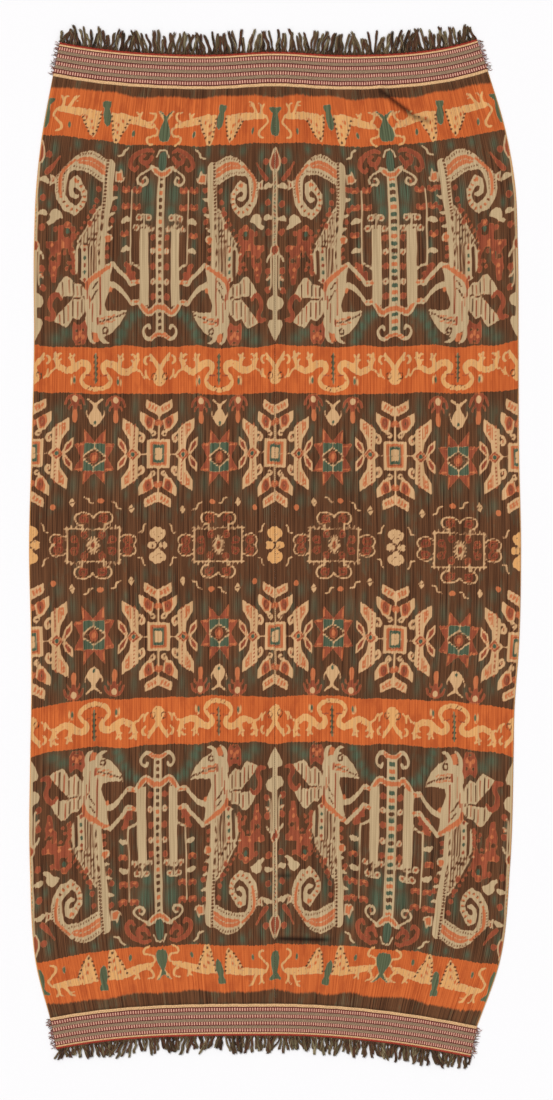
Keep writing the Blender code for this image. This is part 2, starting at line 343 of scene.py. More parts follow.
def draw_bands(chart):
    """The orange grounds of the two bands on each side of the middle, and the dark strip beyond, whose
    edge is soft because its binding was left loose."""
    x, y = chart.x, chart.y
    everywhere = np.arange(x.size)
    for (low, high), soft in zip(BAND_ENDS, (0.32, 1.0)):
        wave = 1.2 * np.sin(x / 17.0 + low) + 0.8 * np.sin(x / 7.3 + high)
        inward = np.minimum(y - low - 0.5 * wave, soft * (high - y + wave))
        chart.dye(ORANGE, everywhere, -inward)
        chart.fields["bright"] = np.maximum(chart.fields["bright"], np.clip(inward / 2 + 1, 0, 1))


# A beast's limbs as a share of the width that they are drawn at
LIMB_THICKNESS = 0.80


def draw_lion(pen, tail, legs, body, head, edges, eye, spots):
    """A golden maned animal, upside down to its pair: a thin tail, pronged legs, and a triangular mane and
    head edged with rows of dark dots."""
    for limb in (tail, *legs):
        pen.stroke(GOLD, *((x, y, half * LIMB_THICKNESS) for x, y, half in limb))
    pen.stroke(GOLD, *body)
    pen.area(GOLD, *head)
    for i, (x, y, half) in enumerate(body[1:]):
        pen.round(ORANGE, x + 1.5, y + (0.5, -0.4)[i % 2] * half, 0.9, 0.8)
        pen.round(ORANGE, x - 2.6, y + (-0.2, 0.6)[i % 2] * half, 0.7, 1.6)
    for low, high in edges:
        for t in np.linspace(0, 1, 5):
            x, y = np.array(low) * (1 - t) + np.array(high) * t
            pen.round(BROWN, x, y, 1.5, 1.3)
    pen.round(BROWN, *eye, 1.5, 1.6)
    for x, y in spots:
        pen.round(ORANGE, x, y, 1.2, 2.6)
        pen.round(ORANGE, x + 2.4, y + 1.8, 0.7, 1.8)


def draw_fish(pen, colour, eye):
    """A small fish hanging by its forked tail, nose at the motif's origin."""
    pen.area(
        colour, (0, -0.5), (5.2, 3.5), (7.2, 8), (5.4, 13), (1.8, 18), (2.4, 21),
        (8.6, 26), (7.4, 27.5), (0, 22.5), (-0.5, 10),
    )
    pen.stroke(colour, (6.6, 8, 0.9), (8.8, 12, 0.7), (8.6, 15.5, 0.6))
    pen.round(eye, 0, 4.2, 1.6, 1.9)


def draw_end_band(chart, plan, size):
    """Band of maned animals in facing pairs, with posts between them and fish on the axis, whose width
    is multiplied by size."""
    pen = Pen(plan)
    draw_lion(
        pen,
        tail=(
            (102, 437, 1.3), (105.6, 431.3, 1.2), (102.4, 426, 1.3), (98, 420, 1.5), (98.7, 415.4, 1.4),
            (103, 414, 1.2),
        ),
        legs=(
            ((97.9, 437, 1.8), (95.6, 443.4, 1.5), (97.4, 449, 1.2)),
            ((95.6, 444, 1.0), (93.4, 448.2, 0.9), (90.8, 448.8, 0.8)),
            ((91.1, 438, 2.0), (87.3, 443.4, 1.5), (84.3, 448, 1.3), (80.6, 449, 0.9)),
            ((85.6, 446, 0.9), (81.6, 444.6, 0.8)),
        ),
        body=((99, 436.4, 2.6), (88, 435.2, 3.5), (76, 433, 4.0), (66, 431, 4.2)),
        head=(
            (78, 432), (57.4, 434), (58.6, 425), (61.4, 417.7), (63, 411), (66, 406.6), (69, 410),
            (72, 415.6), (76, 422),
        ),
        edges=(((77, 428.6), (71, 413.6)), ((58.2, 430.6), (62.8, 413.6))),
        eye=(66.1, 410.4), spots=((67.6, 424), (73, 428.5), (66.5, 416.5)),
    )
    draw_lion(
        pen,
        tail=(
            (8, 419.4, 1.6), (2.4, 415.6, 1.2), (4.6, 409.6, 1.2), (12.6, 407.6, 1.2), (12.6, 402.6, 1.3),
            (8, 399.6, 1.2),
        ),
        legs=(
            ((24, 425.6, 1.7), (19.2, 429, 1.4), (22.4, 432.6, 1.0)),
            ((19.4, 428.8, 1.1), (17.2, 433, 0.9)),
            ((11.6, 422.6, 1.5), (5.8, 425.4, 1.3), (4.1, 431, 1.2), (9.6, 433, 0.9)),
        ),
        body=((38, 428.6, 4.2), (25.3, 425, 3.7), (13.2, 421, 3.2), (6.4, 419.4, 2.2)),
        head=(
            (47.4, 433), (28, 429), (30.2, 422.2), (33.4, 415.4), (37.6, 410.6), (41, 402.4),
            (45.6, 402.2), (47.6, 410), (47.8, 422),
        ),
        edges=(((29.4, 426), (38.6, 409.6)), ((47.2, 429), (46.2, 410.6))),
        eye=(43.4, 405.6), spots=((41, 421), (36, 424.5), (42, 413.5)),
    )
    pen.area(
        TEAL, (56.4, 443.4), (48, 443.4), (48.2, 438.6), (49.6, 436.4), (48.2, 430), (49, 421.5),
        (52, 418), (55.2, 421.5), (56, 430), (54.8, 436.4), (56.4, 439),
    )
    pen.round(TEAL, 26, 411.6, 1.6, 3.2)
    pen.round(TEAL, 90.3, 420, 1.4, 3.4)
    pen = Pen(chart)
    fish = (
        (-1, 402), (4.6, 403), (6.2, 408), (5.2, 415), (1.8, 423), (3.5, 427), (7.5, 432), (6, 433),
        (0, 427.5), (-1, 420),
    )
    pen.area(TEAL, *((x * size, y) for x, y in fish))
    pen.stroke(GOLD, (2.2 * size, 424, 0.7), (4.6 * size, 428.6, 0.8), (8.0 * size, 432.4, 0.6))
    pen.stroke(GOLD, (4.6 * size, 429, 0.5), (6.4 * size, 428, 0.5))
    pen.area(
        TEAL, (127, 405), (122.5, 406), (120.8, 412), (121.6, 420), (123.5, 428), (119, 433), (119, 435),
        (127, 434),
    )


def draw_middle_band(chart):
    """Band of golden crested animals, whose bodies meet over a thin dark post, and crabs between."""
    pen = Pen(chart)
    for way in (-1, 1):
        side = Pen(chart, 63.5, 0, way)
        side.stroke(
            GOLD, (38, 177, 2.8), (30, 173.2, 3.2), (23.4, 175, 3.3), (17.5, 179.8, 3.3), (12, 181, 3.3),
            (7.8, 178.2, 3.0), (8.2, 172.8, 2.2), (12.6, 168.6, 1.9), (14.4, 163.6, 2.0),
            (11.6, 158.6, 2.2), (6, 156, 2.2), (-0.5, 155.2, 2.4),
        )
        side.stroke(GOLD, (38, 178, 2.4), (40.4, 184, 2.0), (41.6, 191, 1.2))
        side.stroke(GOLD, (39.6, 187, 1.4), (37, 190, 1.0), (35, 189.6, 0.8))
        side.stroke(GOLD, (39.4, 183, 1.2), (43.2, 185.4, 0.8))
        side.stroke(GOLD, (38, 182, 1.0), (35.2, 184.4, 0.8))
        side.stroke(GOLD, (23, 178, 2.2), (24.4, 185, 1.8), (26.6, 190.6, 0.9))
        side.stroke(GOLD, (24.2, 186, 1.2), (21.8, 189.6, 0.9))
        side.stroke(GOLD, (24.4, 183.4, 1.0), (28, 185.6, 0.8))
        side.stroke(
            GOLD, (36, 176, 1.4), (40, 175.2, 1.1), (44, 173.6, 0.9), (46.4, 169.8, 0.8), (48, 168, 1.3),
        )
        side.stroke(RUST, (4.5, 168.6, 0.9), (10.5, 169.2, 0.8))
        for x, y in ((24.8, 186.6), (40, 186.4), (15.6, 180.6), (30.6, 173.8), (37, 177.4), (13.6, 164.6)):
            side.round(ORANGE, x, y, 0.8, 1.3)
        for x, y in ((2.2, 157.6), (5.0, 158.4), (3.4, 155.0), (7.2, 156.2)):
            side.round(BROWN, x, y, 0.9, 0.9)
        side.round(TEAL, 21.8, 163.6, 1.3, 3.4)
        side.round(GOLD, 24.6, 163.2, 0.9, 3.6)
        side.round(GOLD, 22.0, 167.8, 1.2, 1.0)
    pen.stroke(TEAL, (63.5, 190, 0.9), (63.5, 174, 0.9), (63.5, 161, 0.8))
    for height in (187, 181.4, 176, 170.6, 165):
        for way in (-1.6, 1.6):
            pen.round(BROWN, 63.5 + way, height, 1.0, 1.2)
    for x in (0, EDGE):
        for way in (-1, 1):
            crab = Pen(chart, x, 0, way)
            crab.area(
                GOLD, (-0.5, 159.4), (3, 160), (6.0, 163), (6.6, 167), (4.6, 171.6), (2.6, 175.4),
                (-0.5, 177),
            )
            crab.stroke(GOLD, (1.2, 177, 2.0), (4.6, 182.6, 2.0), (8.2, 187.6, 1.6), (9.6, 191, 1.0))
            crab.stroke(GOLD, (6.4, 184.8, 1.1), (9.8, 184.4, 0.8))
            crab.ring(BROWN, 5.8, 168.4, 2.6, 3.2, 0.6)
            crab.stroke(GOLD, (13, 180.4, 0.9), (15.6, 183.6, 1.2), (14.6, 187.6, 1.2), (12.4, 188.4, 0.9))
            crab.round(BROWN, 2.2, 163, 0.8, 0.8)
            crab.stroke(GOLD, (14.4, 175, 0.8), (13.6, 169.4, 0.9), (10.6, 166, 0.8))


def draw_flower(chart, x, y):
    """A large eight-leaf flower: nested square, stems, four side leaves, and two leaves above and below."""
    for fx in (-1, 1):
        for fy in (-1, 1):
            pen = Pen(chart, x, y, fx, fy)
            pen.area(
                CREAM, (-0.5, 47.2), (13.5, 54.2), (13.7, 45), (9, 42), (-0.5, 37), core=ORANGE, rim=2.0,
            )
            pen.dashes(CREAM, ((2, 43.4, 1), (7.4, 46, 1), (12, 48.4, 1)), 3.6, 1.3, width=2.2)
            pen.area(CREAM, (4.0, 33.6), (19.3, 42.6), (19.3, 33.2), (13.1, 24.1), (8, 21.4), (5.4, 25))
            pen.area(ORANGE, (5.6, 35), (14.2, 38.4), (15.2, 32), (12, 25.6), (7, 24.6))
            pen.round(RUST, 10, 31.6, 3.2, 5.2)
            pen.round(BROWN, 10, 31.4, 0.9, 1.8)
            pen.round(RUST, 0, 30.6, 4.6, 3.4)
            pen.round(ORANGE, 0, 30.6, 3.2, 2.2)
            pen.area(
                CREAM, (20.4, -0.7), (19.8, 25.3), (27.2, 30.8), (36.4, 36.6), (36.4, 25.3), (29.2, 14.3),
                (28, 6), (28, -0.7),
            )
            pen.area(
                ORANGE, (26.8, 16.4), (26.8, 28.4), (29.6, 30.4), (33.2, 31.6), (33.2, 24.6), (29.2, 18.6),
            )
            pen.stroke(CREAM, (28.2, 19, 0.55), (28.2, 28, 0.55))
            pen.dashes(CREAM, ((31, 22, 1), (31, 30, 1)), 3.0, 1.2, width=0.9)
            pen.dashes(RUST, ((24, 7, 1), (24, 30, 1)), 3.6, 2.2, width=0.9)
            pen.area(
                CREAM, (30.6, 3), (33, 10.6), (40.6, 17.4), (40.4, 8), (36.4, 3.4), (32.4, -0.7),
                core=RUST, rim=1.7,
            )
            pen.area(CREAM, (16, -0.7), (18, 2.4), (25.2, 8), (32, -0.7))
            pen.area(RUST, (18.4, -0.7), (25.2, 6.0), (31, 0), (31, -0.7))
            pen.area(ORANGE, (20.4, -0.7), (25.2, 3.8), (29.2, 0), (29.2, -0.7))
            pen.round(TEAL, 25.2, 0, 2.1, 2.3)
            pen.stroke(CREAM, (11, 0, 0.6), (18, 0, 0.8))
            pen.stroke(CREAM, (0, 14, 1.0), (0, 28, 1.0))
            pen.stroke(CREAM, (0, 34, 0.9), (0, 44, 1.0))
            pen.stroke(
                CREAM, (19.4, 21, 1.1), (16.6, 19.6, 1.4), (14.4, 16, 1.4), (15.8, 12.2, 1.3),
                (18.6, 13.2, 1.0), (18, 16, 0.9),
            )
            pen.round(RUST, 16.6, 16.2, 0.9, 1.3)
            pen.stroke(
                CREAM, (8.4, 21, 1.0), (5.0, 21.8, 1.1), (3.6, 19.4, 1.1), (5.6, 17.4, 1.0),
                (7.4, 18.8, 0.8),
            )
            squares = (
                (11.5, 14.0, CREAM), (8.5, 11.4, ORANGE), (6.6, 9.8, RUST), (5.5, 8.6, TEAL),
                (3.7, 5.6, CREAM),
            )
            for rx, ry, colour in squares:
                pen.area(colour, (-0.5, -0.5), (rx, -0.5), (rx, ry), (-0.5, ry))


def draw_star(chart, x, y):
    """An eight-point star: dull red points round teal squares and a dark diamond."""
    for fx in (-1, 1):
        for fy in (-1, 1):
            pen = Pen(chart, x, y, fx, fy)
            pen.area(
                RUST, (-0.5, -0.5), (-0.5, 16), (0, 15.6), (11, 28.4), (10.8, 14.2), (20.6, 13), (13.2, 0),
                (13.2, -0.5),
            )
            pen.stroke(ORANGE, (9.4, 17, 0.9), (10, 24, 0.8))
            pen.stroke(ORANGE, (12.6, 11.6, 0.9), (17, 11.6, 0.8))
            pen.area(TEAL, (-0.5, -0.5), (-0.5, 14), (10.6, 14), (10.6, -0.5))
            pen.area(BROWN, (-0.5, -0.5), (-0.5, 9.0), (11.2, 0.8), (11.2, -0.5))
            pen.stroke(CREAM, (0, 9.4, 0.7), (6, 5.2, 0.7), (10.8, 1.6, 0.9))
            pen.stroke(CREAM, (0, 9.6, 0.6), (0, 15, 0.5))
    Pen(chart).round(RUST, x, y, 4.2, 5.4)
    Pen(chart).round(ORANGE, x, y, 2.2, 3.2)


def draw_medallion(chart, x, y):
    """A hooked box with pairs of curls on its four sides and a bristling centre, about the middle line."""
    for fx in (-1, 1):
        for fy in (-1, 1):
            pen = Pen(chart, x, y, fx, fy)
            pen.stroke(CREAM, (25.2, -1, 0.85), (25.4, 18.2, 0.85))
            pen.stroke(CREAM, (-1, 15.6, 0.7), (12, 16.0, 0.75), (28, 16.6, 0.7))
            for place in (6, 13.6, 22.6):
                pen.stroke(CREAM, (place, 16, 0.5), (place - 0.8, 18, 0.4))
            for height in (3.4, 8, 12.6):
                pen.stroke(CREAM, (25, height, 0.6), (27.4, height + 1.2, 0.5))
            pen.stroke(CREAM, (21, 17.4, 0.7), (21.4, 19.6, 0.6))
            pen.stroke(CREAM, (10.2, 11.6, 0.8), (10.4, 20.4, 0.9))
            pen.stroke(CREAM, (17, 17.4, 0.6), (15.6, 19.4, 0.5))
            pen.stroke(
                CREAM, (10.4, 19.6, 0.9), (16.4, 22.2, 0.9), (18.2, 27, 1.0), (15.6, 31.4, 0.9),
                (8.6, 32.6, 0.9), (2.4, 30, 0.9), (0.4, 27, 0.8),
            )
            pen.ring(RUST, 9.4, 26.2, 3.6, 3.2, 0.85)
            pen.round(RUST, 9.8, 25.8, 1.1, 1.0)
            pen.stroke(RUST, (6.2, 25.0, 0.9), (5.0, 22.6, 0.7))
            pen.stroke(
                CREAM, (27, 8.0, 0.7), (30.4, 10.4, 0.8), (35.4, 11.2, 0.8), (40.4, 9.4, 0.85),
                (42.6, 6.0, 0.8), (41.4, 2.2, 0.8), (38.2, -0.5, 0.7),
            )
            pen.ring(RUST, 34.2, 4.9, 3.8, 3.2, 0.85)
            pen.round(RUST, 34.6, 5.0, 1.1, 1.0)
            for cx, cy, r in ((18.6, 5.6, 2.9), (8.6, 10.2, 2.6)):
                pen.ring(RUST, cx, cy, r + 0.3, r + 0.3, 0.8)
                pen.round(RUST, cx + 0.3, cy, 0.9, 0.9)
            pen.stroke(RUST, (15.8, 4, 1.0), (14.6, 1.4, 0.9))
            for angle in (8, 30, 54, 78):
                rx, ry = math.cos(math.radians(angle)), math.sin(math.radians(angle))
                pen.stroke(CREAM, (2.6 * rx, 4.2 * ry, 0.55), (6.6 * rx, 9.2 * ry, 0.65))
            pen.ring(CREAM, 0, 0, 3.2, 5.0, 0.6)
            pen.round(RUST, 0.2, 1.6, 1.0, 1.2)


def draw_double_head(chart, x, y, colour):
    """Two small round heads, crown to crown, with cheeks between."""
    for fx in (-1, 1):
        for fy in (-1, 1):
            pen = Pen(chart, x, y, fx, fy)
            pen.area(
                colour, (-0.5, 18.2), (2.4, 18.6), (4.2, 17), (7.4, 15.4), (8.2, 12), (7, 8.8), (3.4, 6.6),
                (1.2, 3.6), (-0.5, 3.6),
            )
            pen.area(
                colour, (0.8, 0.8), (2.6, 3.6), (6.4, 4.2), (9.8, 2.8), (9.2, 0.8), (8.6, -0.7),
                (0.8, -0.7),
            )
            pen.round(BROWN, 3.6, 13.0, 1.1, 0.7)
            pen.stroke(BROWN, (-0.5, 9.8, 0.4), (3.2, 9.6, 0.5))
            pen.round(BROWN, 4.6, 1.8, 0.9, 0.6)
            pen.stroke(CREAM, (18.6, 12.8, 0.8), (14.6, 13.8, 0.9), (13.8, 18.6, 0.9), (11.8, 20.9, 0.8))


def draw_crayfish(pen):
    """A red crayfish with a pale head, hanging down."""
    pen.round(RUST, 0, 20, 4.4, 6.0)
    pen.round(CREAM, 0, 21, 2.8, 3.4)
    pen.stroke(RUST, (3.4, 24, 1.4), (7.4, 21, 1.3), (9.4, 15.4, 1.1))
    pen.stroke(RUST, (2.6, 15.6, 1.0), (5.6, 13.4, 0.9), (6.4, 10.4, 0.8))
    pen.stroke(RUST, (0, 15.5, 2.2), (0, 9, 2.0))
    pen.stroke(ORANGE, (0, 9, 1.8), (0, 4.5, 2.6), (0, 0.5, 2.2))


# How strong the green washes are
CENTRE_WASH = 0.62
TRUNK_WASH = 1.25
BEAST_WASH = 0.95


def draw_centre(chart):
    """The middle field between the two inner bands."""
    for x, colour in ((0, CREAM), (EDGE, GOLD)):
        draw_flower(chart, x, 91)
        draw_double_head(chart, x, 0, colour)
    draw_star(chart, 64, 88)
    draw_medallion(chart, 63.5, 0)
    pen = Pen(chart)
    for way in (-1, 1):
        draw_fish(Pen(chart, 64, 118.5, way), CREAM, TEAL)
        draw_crayfish(Pen(chart, 43.5, 123, way))
        draw_crayfish(Pen(chart, 84.5, 124, way))
    pen.stroke(CREAM, (63.8, 41.9, 0.9), (67.2, 42.6, 0.9), (68.4, 46.2, 0.9), (72.4, 47.6, 0.9))
    pen.stroke(CREAM, (36.2, 35.2, 0.9), (40.6, 36.8, 0.9), (42.0, 41.4, 0.9), (46.2, 43, 0.9))
    for cx, cy in ((84.4, 42.6), (26, 35.6)):
        pen.area(CREAM, (cx, cy - 5), (cx + 3.4, cy), (cx, cy + 5), (cx - 3.4, cy))
        pen.stroke(BROWN, (cx - 1.6, cy, 0.5), (cx + 1.6, cy, 0.5))
    pen.round(ORANGE, 56.5, 43.5, 3.3, 2.6)
    pen.round(ORANGE, 103, 37.5, 2.8, 3.0)
    for cx, cy, rx, ry in (
        (24, 137, 4, 12), (98, 130, 4, 14), (107, 124, 4, 12), (22, 112, 4, 16), (43, 108, 3, 14),
        (88, 108, 4, 12), (48, 62, 5, 12), (84, 60, 5, 12), (34, 62, 5, 10), (98, 44, 6, 8), (64, 62, 4, 8),
        (24, 134, 3, 6), (41, 116, 3, 6), (102, 134, 3, 6), (86, 116, 3, 6), (20, 60, 3, 8),
        (107, 60, 3, 8),
        (32, 50, 3, 6), (12, 30, 3, 8), (14, 120, 3, 6), (114, 120, 3, 6), (74, 138, 3, 7), (52, 138, 3, 7),
    ):
        pen.wash(cx, cy, rx, ry, CENTRE_WASH)


def draw_rosette(pen, x, y):
    """A small red rosette: a flat oval with two ears and a lighter core."""
    pen.round(RUST, x, y, 4.4, 2.5)
    for way in (-1, 1):
        pen.round(RUST, x + way * 2.7, y + 2.2, 1.6, 2.0)
    pen.round(ORANGE, x, y - 0.2, 2.0, 1.1)


# The trunk's ladder in ties: its ends, half width, and its cells' pitch, half height and side margin
LADDER_ENDS = (211, 368)
LADDER_HALF = 3.9
LADDER_PITCH = 7.05
CELL_HALF = 2.1
CELL_MARGIN = 2.2
# Where the wavy bar meets the ladder, and how far it drops and the columns spread with the trunk's size
BAR_HEIGHT = 238.2
BAR_DROP = 6.5
COLUMN_SPREAD = 0.34


def draw_trunk(chart, size):
    """The ladder trunk on the axis with its capital, foot bracket, side columns and wavy bar. Its width
    is multiplied by size, and a wide one has other colours."""
    pen = Pen(chart)
    half = LADDER_HALF * size
    for x, y, rx, ry in (
        (13, 350, 8, 14), (11, 332, 6, 10), (21, 231, 5, 5), (28, 227, 5.5, 7), (33, 219, 5.5, 6),
        (38, 210, 6, 7), (41, 203, 5, 4), (42, 372, 5, 8),
    ):
        pen.wash(x, y, rx, ry, TRUNK_WASH)
    foot, top = LADDER_ENDS
    pen.area(CREAM, (-half, foot), (half, foot), (half, top), (-half, top))
    cells = (ORANGE, TEAL, BROWN, TEAL) if size > 1 else (BROWN, BROWN, ORANGE, BROWN)
    wide = max(1.4, half - CELL_MARGIN)
    for i, y in enumerate(np.arange(top - 3.5, foot + 3, -LADDER_PITCH)):
        low, high = y - CELL_HALF, y + CELL_HALF
        pen.area(cells[i % 4], (-wide, low), (wide, low), (wide, high), (-wide, high))
    bar = BAR_HEIGHT - BAR_DROP * (size - 1)
    for way in (-1, 1):
        side = Pen(chart, 0, 0, way)
        side.stroke(CREAM, (0, 368, 3.6), (4.5, 370, 3.4), (8, 373.2, 3.2), (11, 375.6, 2.2))
        side.stroke(ORANGE, (0, 368, 2.0), (4.5, 370, 1.8), (8, 373.2, 1.5), (10, 375.2, 1.0))
        side.stroke(
            CREAM, (10, 375.4, 1.6), (16, 371.8, 1.1), (22, 368, 1.1), (24.6, 363.4, 1.2), (22, 359.2, 1.3),
            (17, 358.4, 1.4), (14.4, 361.6, 1.3), (16.4, 365.4, 1.2), (19, 364.6, 1.0),
        )
        side.round(RUST, 19.2, 362, 1.2, 1.4)
        side.stroke(TEAL, (0, 389, 3.2), (0, 380, 4.4), (0, 374.5, 2.6))
        side.stroke(CREAM, (-0.5, 394, 0.9), (3.4, 393.4, 1.0), (5.2, 390, 0.9), (6.4, 387, 1.1))
        side.stroke(CREAM, (3.6, 372, 0.9), (4.4, 375, 0.7))
        side.stroke(
            CREAM, (0, bar, 4.0), (3.5, bar - 0.2, 3.8), (7.5, 234.4, 3.4), (11.4, 231.8, 3.4),
            (15.5, 235.6, 3.4), (20, 242, 3.0),
        )
        side.stroke(
            ORANGE, (0, bar, 2.3), (3.5, bar - 0.2, 2.2), (7.5, 234.6, 1.8), (11.4, 232.2, 1.6),
            (15, 235.4, 1.8), (18.6, 240.6, 1.5),
        )
        side.stroke(
            CREAM, (0, 210.5, 2.4), (4.5, 209.5, 2.4), (9.5, 205.8, 2.2), (13.5, 207, 1.8),
            (16.4, 212, 1.4), (15.6, 217, 1.2), (11.5, 219.5, 1.6), (10, 216, 1.4),
        )
        side.stroke(ORANGE, (0, 210.5, 1.4), (4.5, 209.5, 1.3), (8.5, 206.4, 0.9))
        side = Pen(chart, 0, 0, way, stretch=1 + COLUMN_SPREAD * (size - 1))
        side.area(
            CREAM, (11.2, 239), (20.4, 243), (20.2, 300), (19.6, 317), (16, 314), (14, 316.5), (11.4, 317),
        )
        side.stroke(CREAM, (15.8, 314, 0.8), (15.8, 328, 0.8))
        for x, y, r in ((11.4, 326.4, 2.4), (20.8, 326, 2.6), (8.4, 315.4, 2.2), (23.6, 315.6, 2.4)):
            side.ring(CREAM, x, y, r, r + 0.3, 0.8)
            side.round(RUST, x, y - 0.4, 1.1, 1.3)
        side.stroke(CREAM, (11.4, 328.8, 0.8), (15.8, 329.6, 0.7), (20.6, 328.8, 0.8))
        side.stroke(CREAM, (10, 317.2, 0.9), (16, 319, 0.8), (22, 317, 0.9))
        for y, colour, r in (
            (307, RUST, 2.4), (293, CREAM, 2.6), (278, RUST, 2.6), (263, CREAM, 2.6), (248.5, RUST, 2.6),
        ):
            side.round(colour, 4.6 + half * 0.62, y, r, r + 0.8)
            side.round(RUST, 4.9 + half * 0.62, y, 1.0, 1.4)
        for x, y in ((24, 352.6), (35.4, 352.6), (24, 335.8), (35.2, 336), (35.6, 308.6)):
            draw_rosette(side, x, y)
        side.stroke(CREAM, (30, 323.5, 1.4), (34, 323.6, 3.0), (37.6, 321.4, 1.8))
        side.stroke(CREAM, (30, 293.6, 1.2), (34.4, 294, 2.8), (37.6, 292, 1.6))
        side.stroke(RUST, (34, 279, 2.2), (31.5, 276, 2.6), (30.5, 270, 2.2), (27, 266, 2.6))
        side.stroke(RUST, (26, 271, 1.8), (31, 265.5, 2.2), (35, 269, 1.4))
        side.stroke(
            CREAM, (29, 353, 0.75), (29, 320, 0.75), (29.2, 283, 0.9), (26.6, 279.6, 1.25),
            (20, 275.4, 1.3),
        )
        side = Pen(chart, 0, 0, way)
        side.stroke(
            RUST, (11, 392, 1.6), (16, 393.6, 2.0), (22, 391.6, 2.2), (28, 388, 2.4), (32, 382.4, 2.4),
            (32.6, 376.4, 2.2), (28, 372.6, 1.9), (25.4, 376, 1.4),
        )
        side.stroke(
            RUST, (11.4, 386, 1.8), (14.6, 381, 2.2), (20, 380.4, 2.4), (22.6, 384.8, 2.0),
            (18.8, 388, 1.5),
        )
        side.stroke(RUST, (17.6, 379.6, 1.8), (15.6, 376, 1.5))
        side.stroke(CREAM, (35.4, 395, 0.9), (39.6, 391.6, 1.2), (41, 387.6, 1.2), (46, 386, 0.9))


# Outlines and paths of the great beast, in ties from the panel's axis and its mid line
TAIL_OUTLINE = (
    (45.2, 372.8), (48.2, 380), (51.8, 384.6), (57.2, 388.4), (61.7, 391.8), (67.9, 394.3), (74.2, 393.4),
    (78.7, 391.6), (84, 388), (92.1, 380.4), (98.4, 373.7), (103.3, 367.5), (104.2, 354), (102.8, 346),
    (99.3, 339.7), (95.7, 333.4), (90.3, 332.1), (85.8, 329), (81.4, 332.1), (76, 338), (73.3, 345),
    (72.8, 354), (76.4, 359.8), (79.1, 365.7), (82.2, 369.2), (85.8, 367.5), (89.9, 365.2), (91.2, 357),
    (90.3, 350.6), (87.6, 347.4), (84.4, 346.4), (80.6, 348.6), (81.4, 351), (84, 351.3), (86.3, 353.2),
    (86.7, 356.3), (84.9, 358), (82.2, 356.3), (79.6, 353), (78.2, 347.8), (80.5, 342.6), (84, 339.5),
    (88.5, 342.4), (91.4, 346), (93.9, 350.4), (93, 361.2), (90.8, 370.1), (87.6, 373.7), (76, 373.5),
    (70.6, 371), (66.1, 368.3), (61.7, 365.2), (56.3, 363), (50, 363),
)
TAIL_FLESH = (
    (83.1, 383.6), (79.6, 386.3), (74.2, 388), (68.8, 387.6), (63.4, 385.4), (58.1, 381.8), (54.6, 379),
    (54.6, 369.3), (58.1, 371), (62.6, 374.6), (67.9, 377.8), (74.2, 380), (81.4, 380.4),
)
TAIL_CELLS = (
    (98, 348, 1), (95, 342.8, 1), (91, 337.5, 1), (85, 334.5, 1), (80.6, 337, 1), (77, 342, 1),
    (75.8, 348, 1), (76.5, 354, 1), (79.5, 359.5, 1), (83, 364.5, 1),
)
BODY = (
    (50.8, 380, 6.0), (50.9, 372, 5.5), (52, 361, 5.0), (53, 347, 5.1), (55, 334, 4.7), (56.4, 323, 4.6),
    (58.2, 306, 4.2), (59.2, 290, 4.4), (60, 272, 5.0),
)
BACKBONE = (
    (51.8, 384, 0.8), (52.8, 376, 0.8), (54, 363.9, 0.8), (55.2, 353, 0.8), (56.3, 341.5, 0.8),
    (57.4, 330, 0.8), (58.4, 318, 0.8), (60.4, 306, 0.8), (60.8, 292, 0.8), (60.8, 269, 0.8),
)
CHEST_AND_HEAD = (
    (48, 277), (50, 269), (50.5, 255), (54, 246), (55.5, 240), (54, 234), (42, 233.5), (33.5, 235),
    (34, 231), (40, 220), (47, 212), (56, 207), (62, 209), (68, 213), (72, 226), (74.5, 235),
    (75, 250), (73, 261), (64, 270),
)
UPPER_WING = (
    (104, 254), (100, 262), (94, 269.5), (90, 269), (84, 262), (78, 261), (74, 255), (74, 249),
    (82, 247), (88, 249), (96, 249), (98, 246), (102, 249),
)
LOWER_WING = (
    (106, 223), (102, 230), (96, 237), (87, 247), (82, 245), (77, 247), (75, 245), (75, 231),
    (81, 224), (87, 227), (91, 220), (94, 217), (100, 220),
)


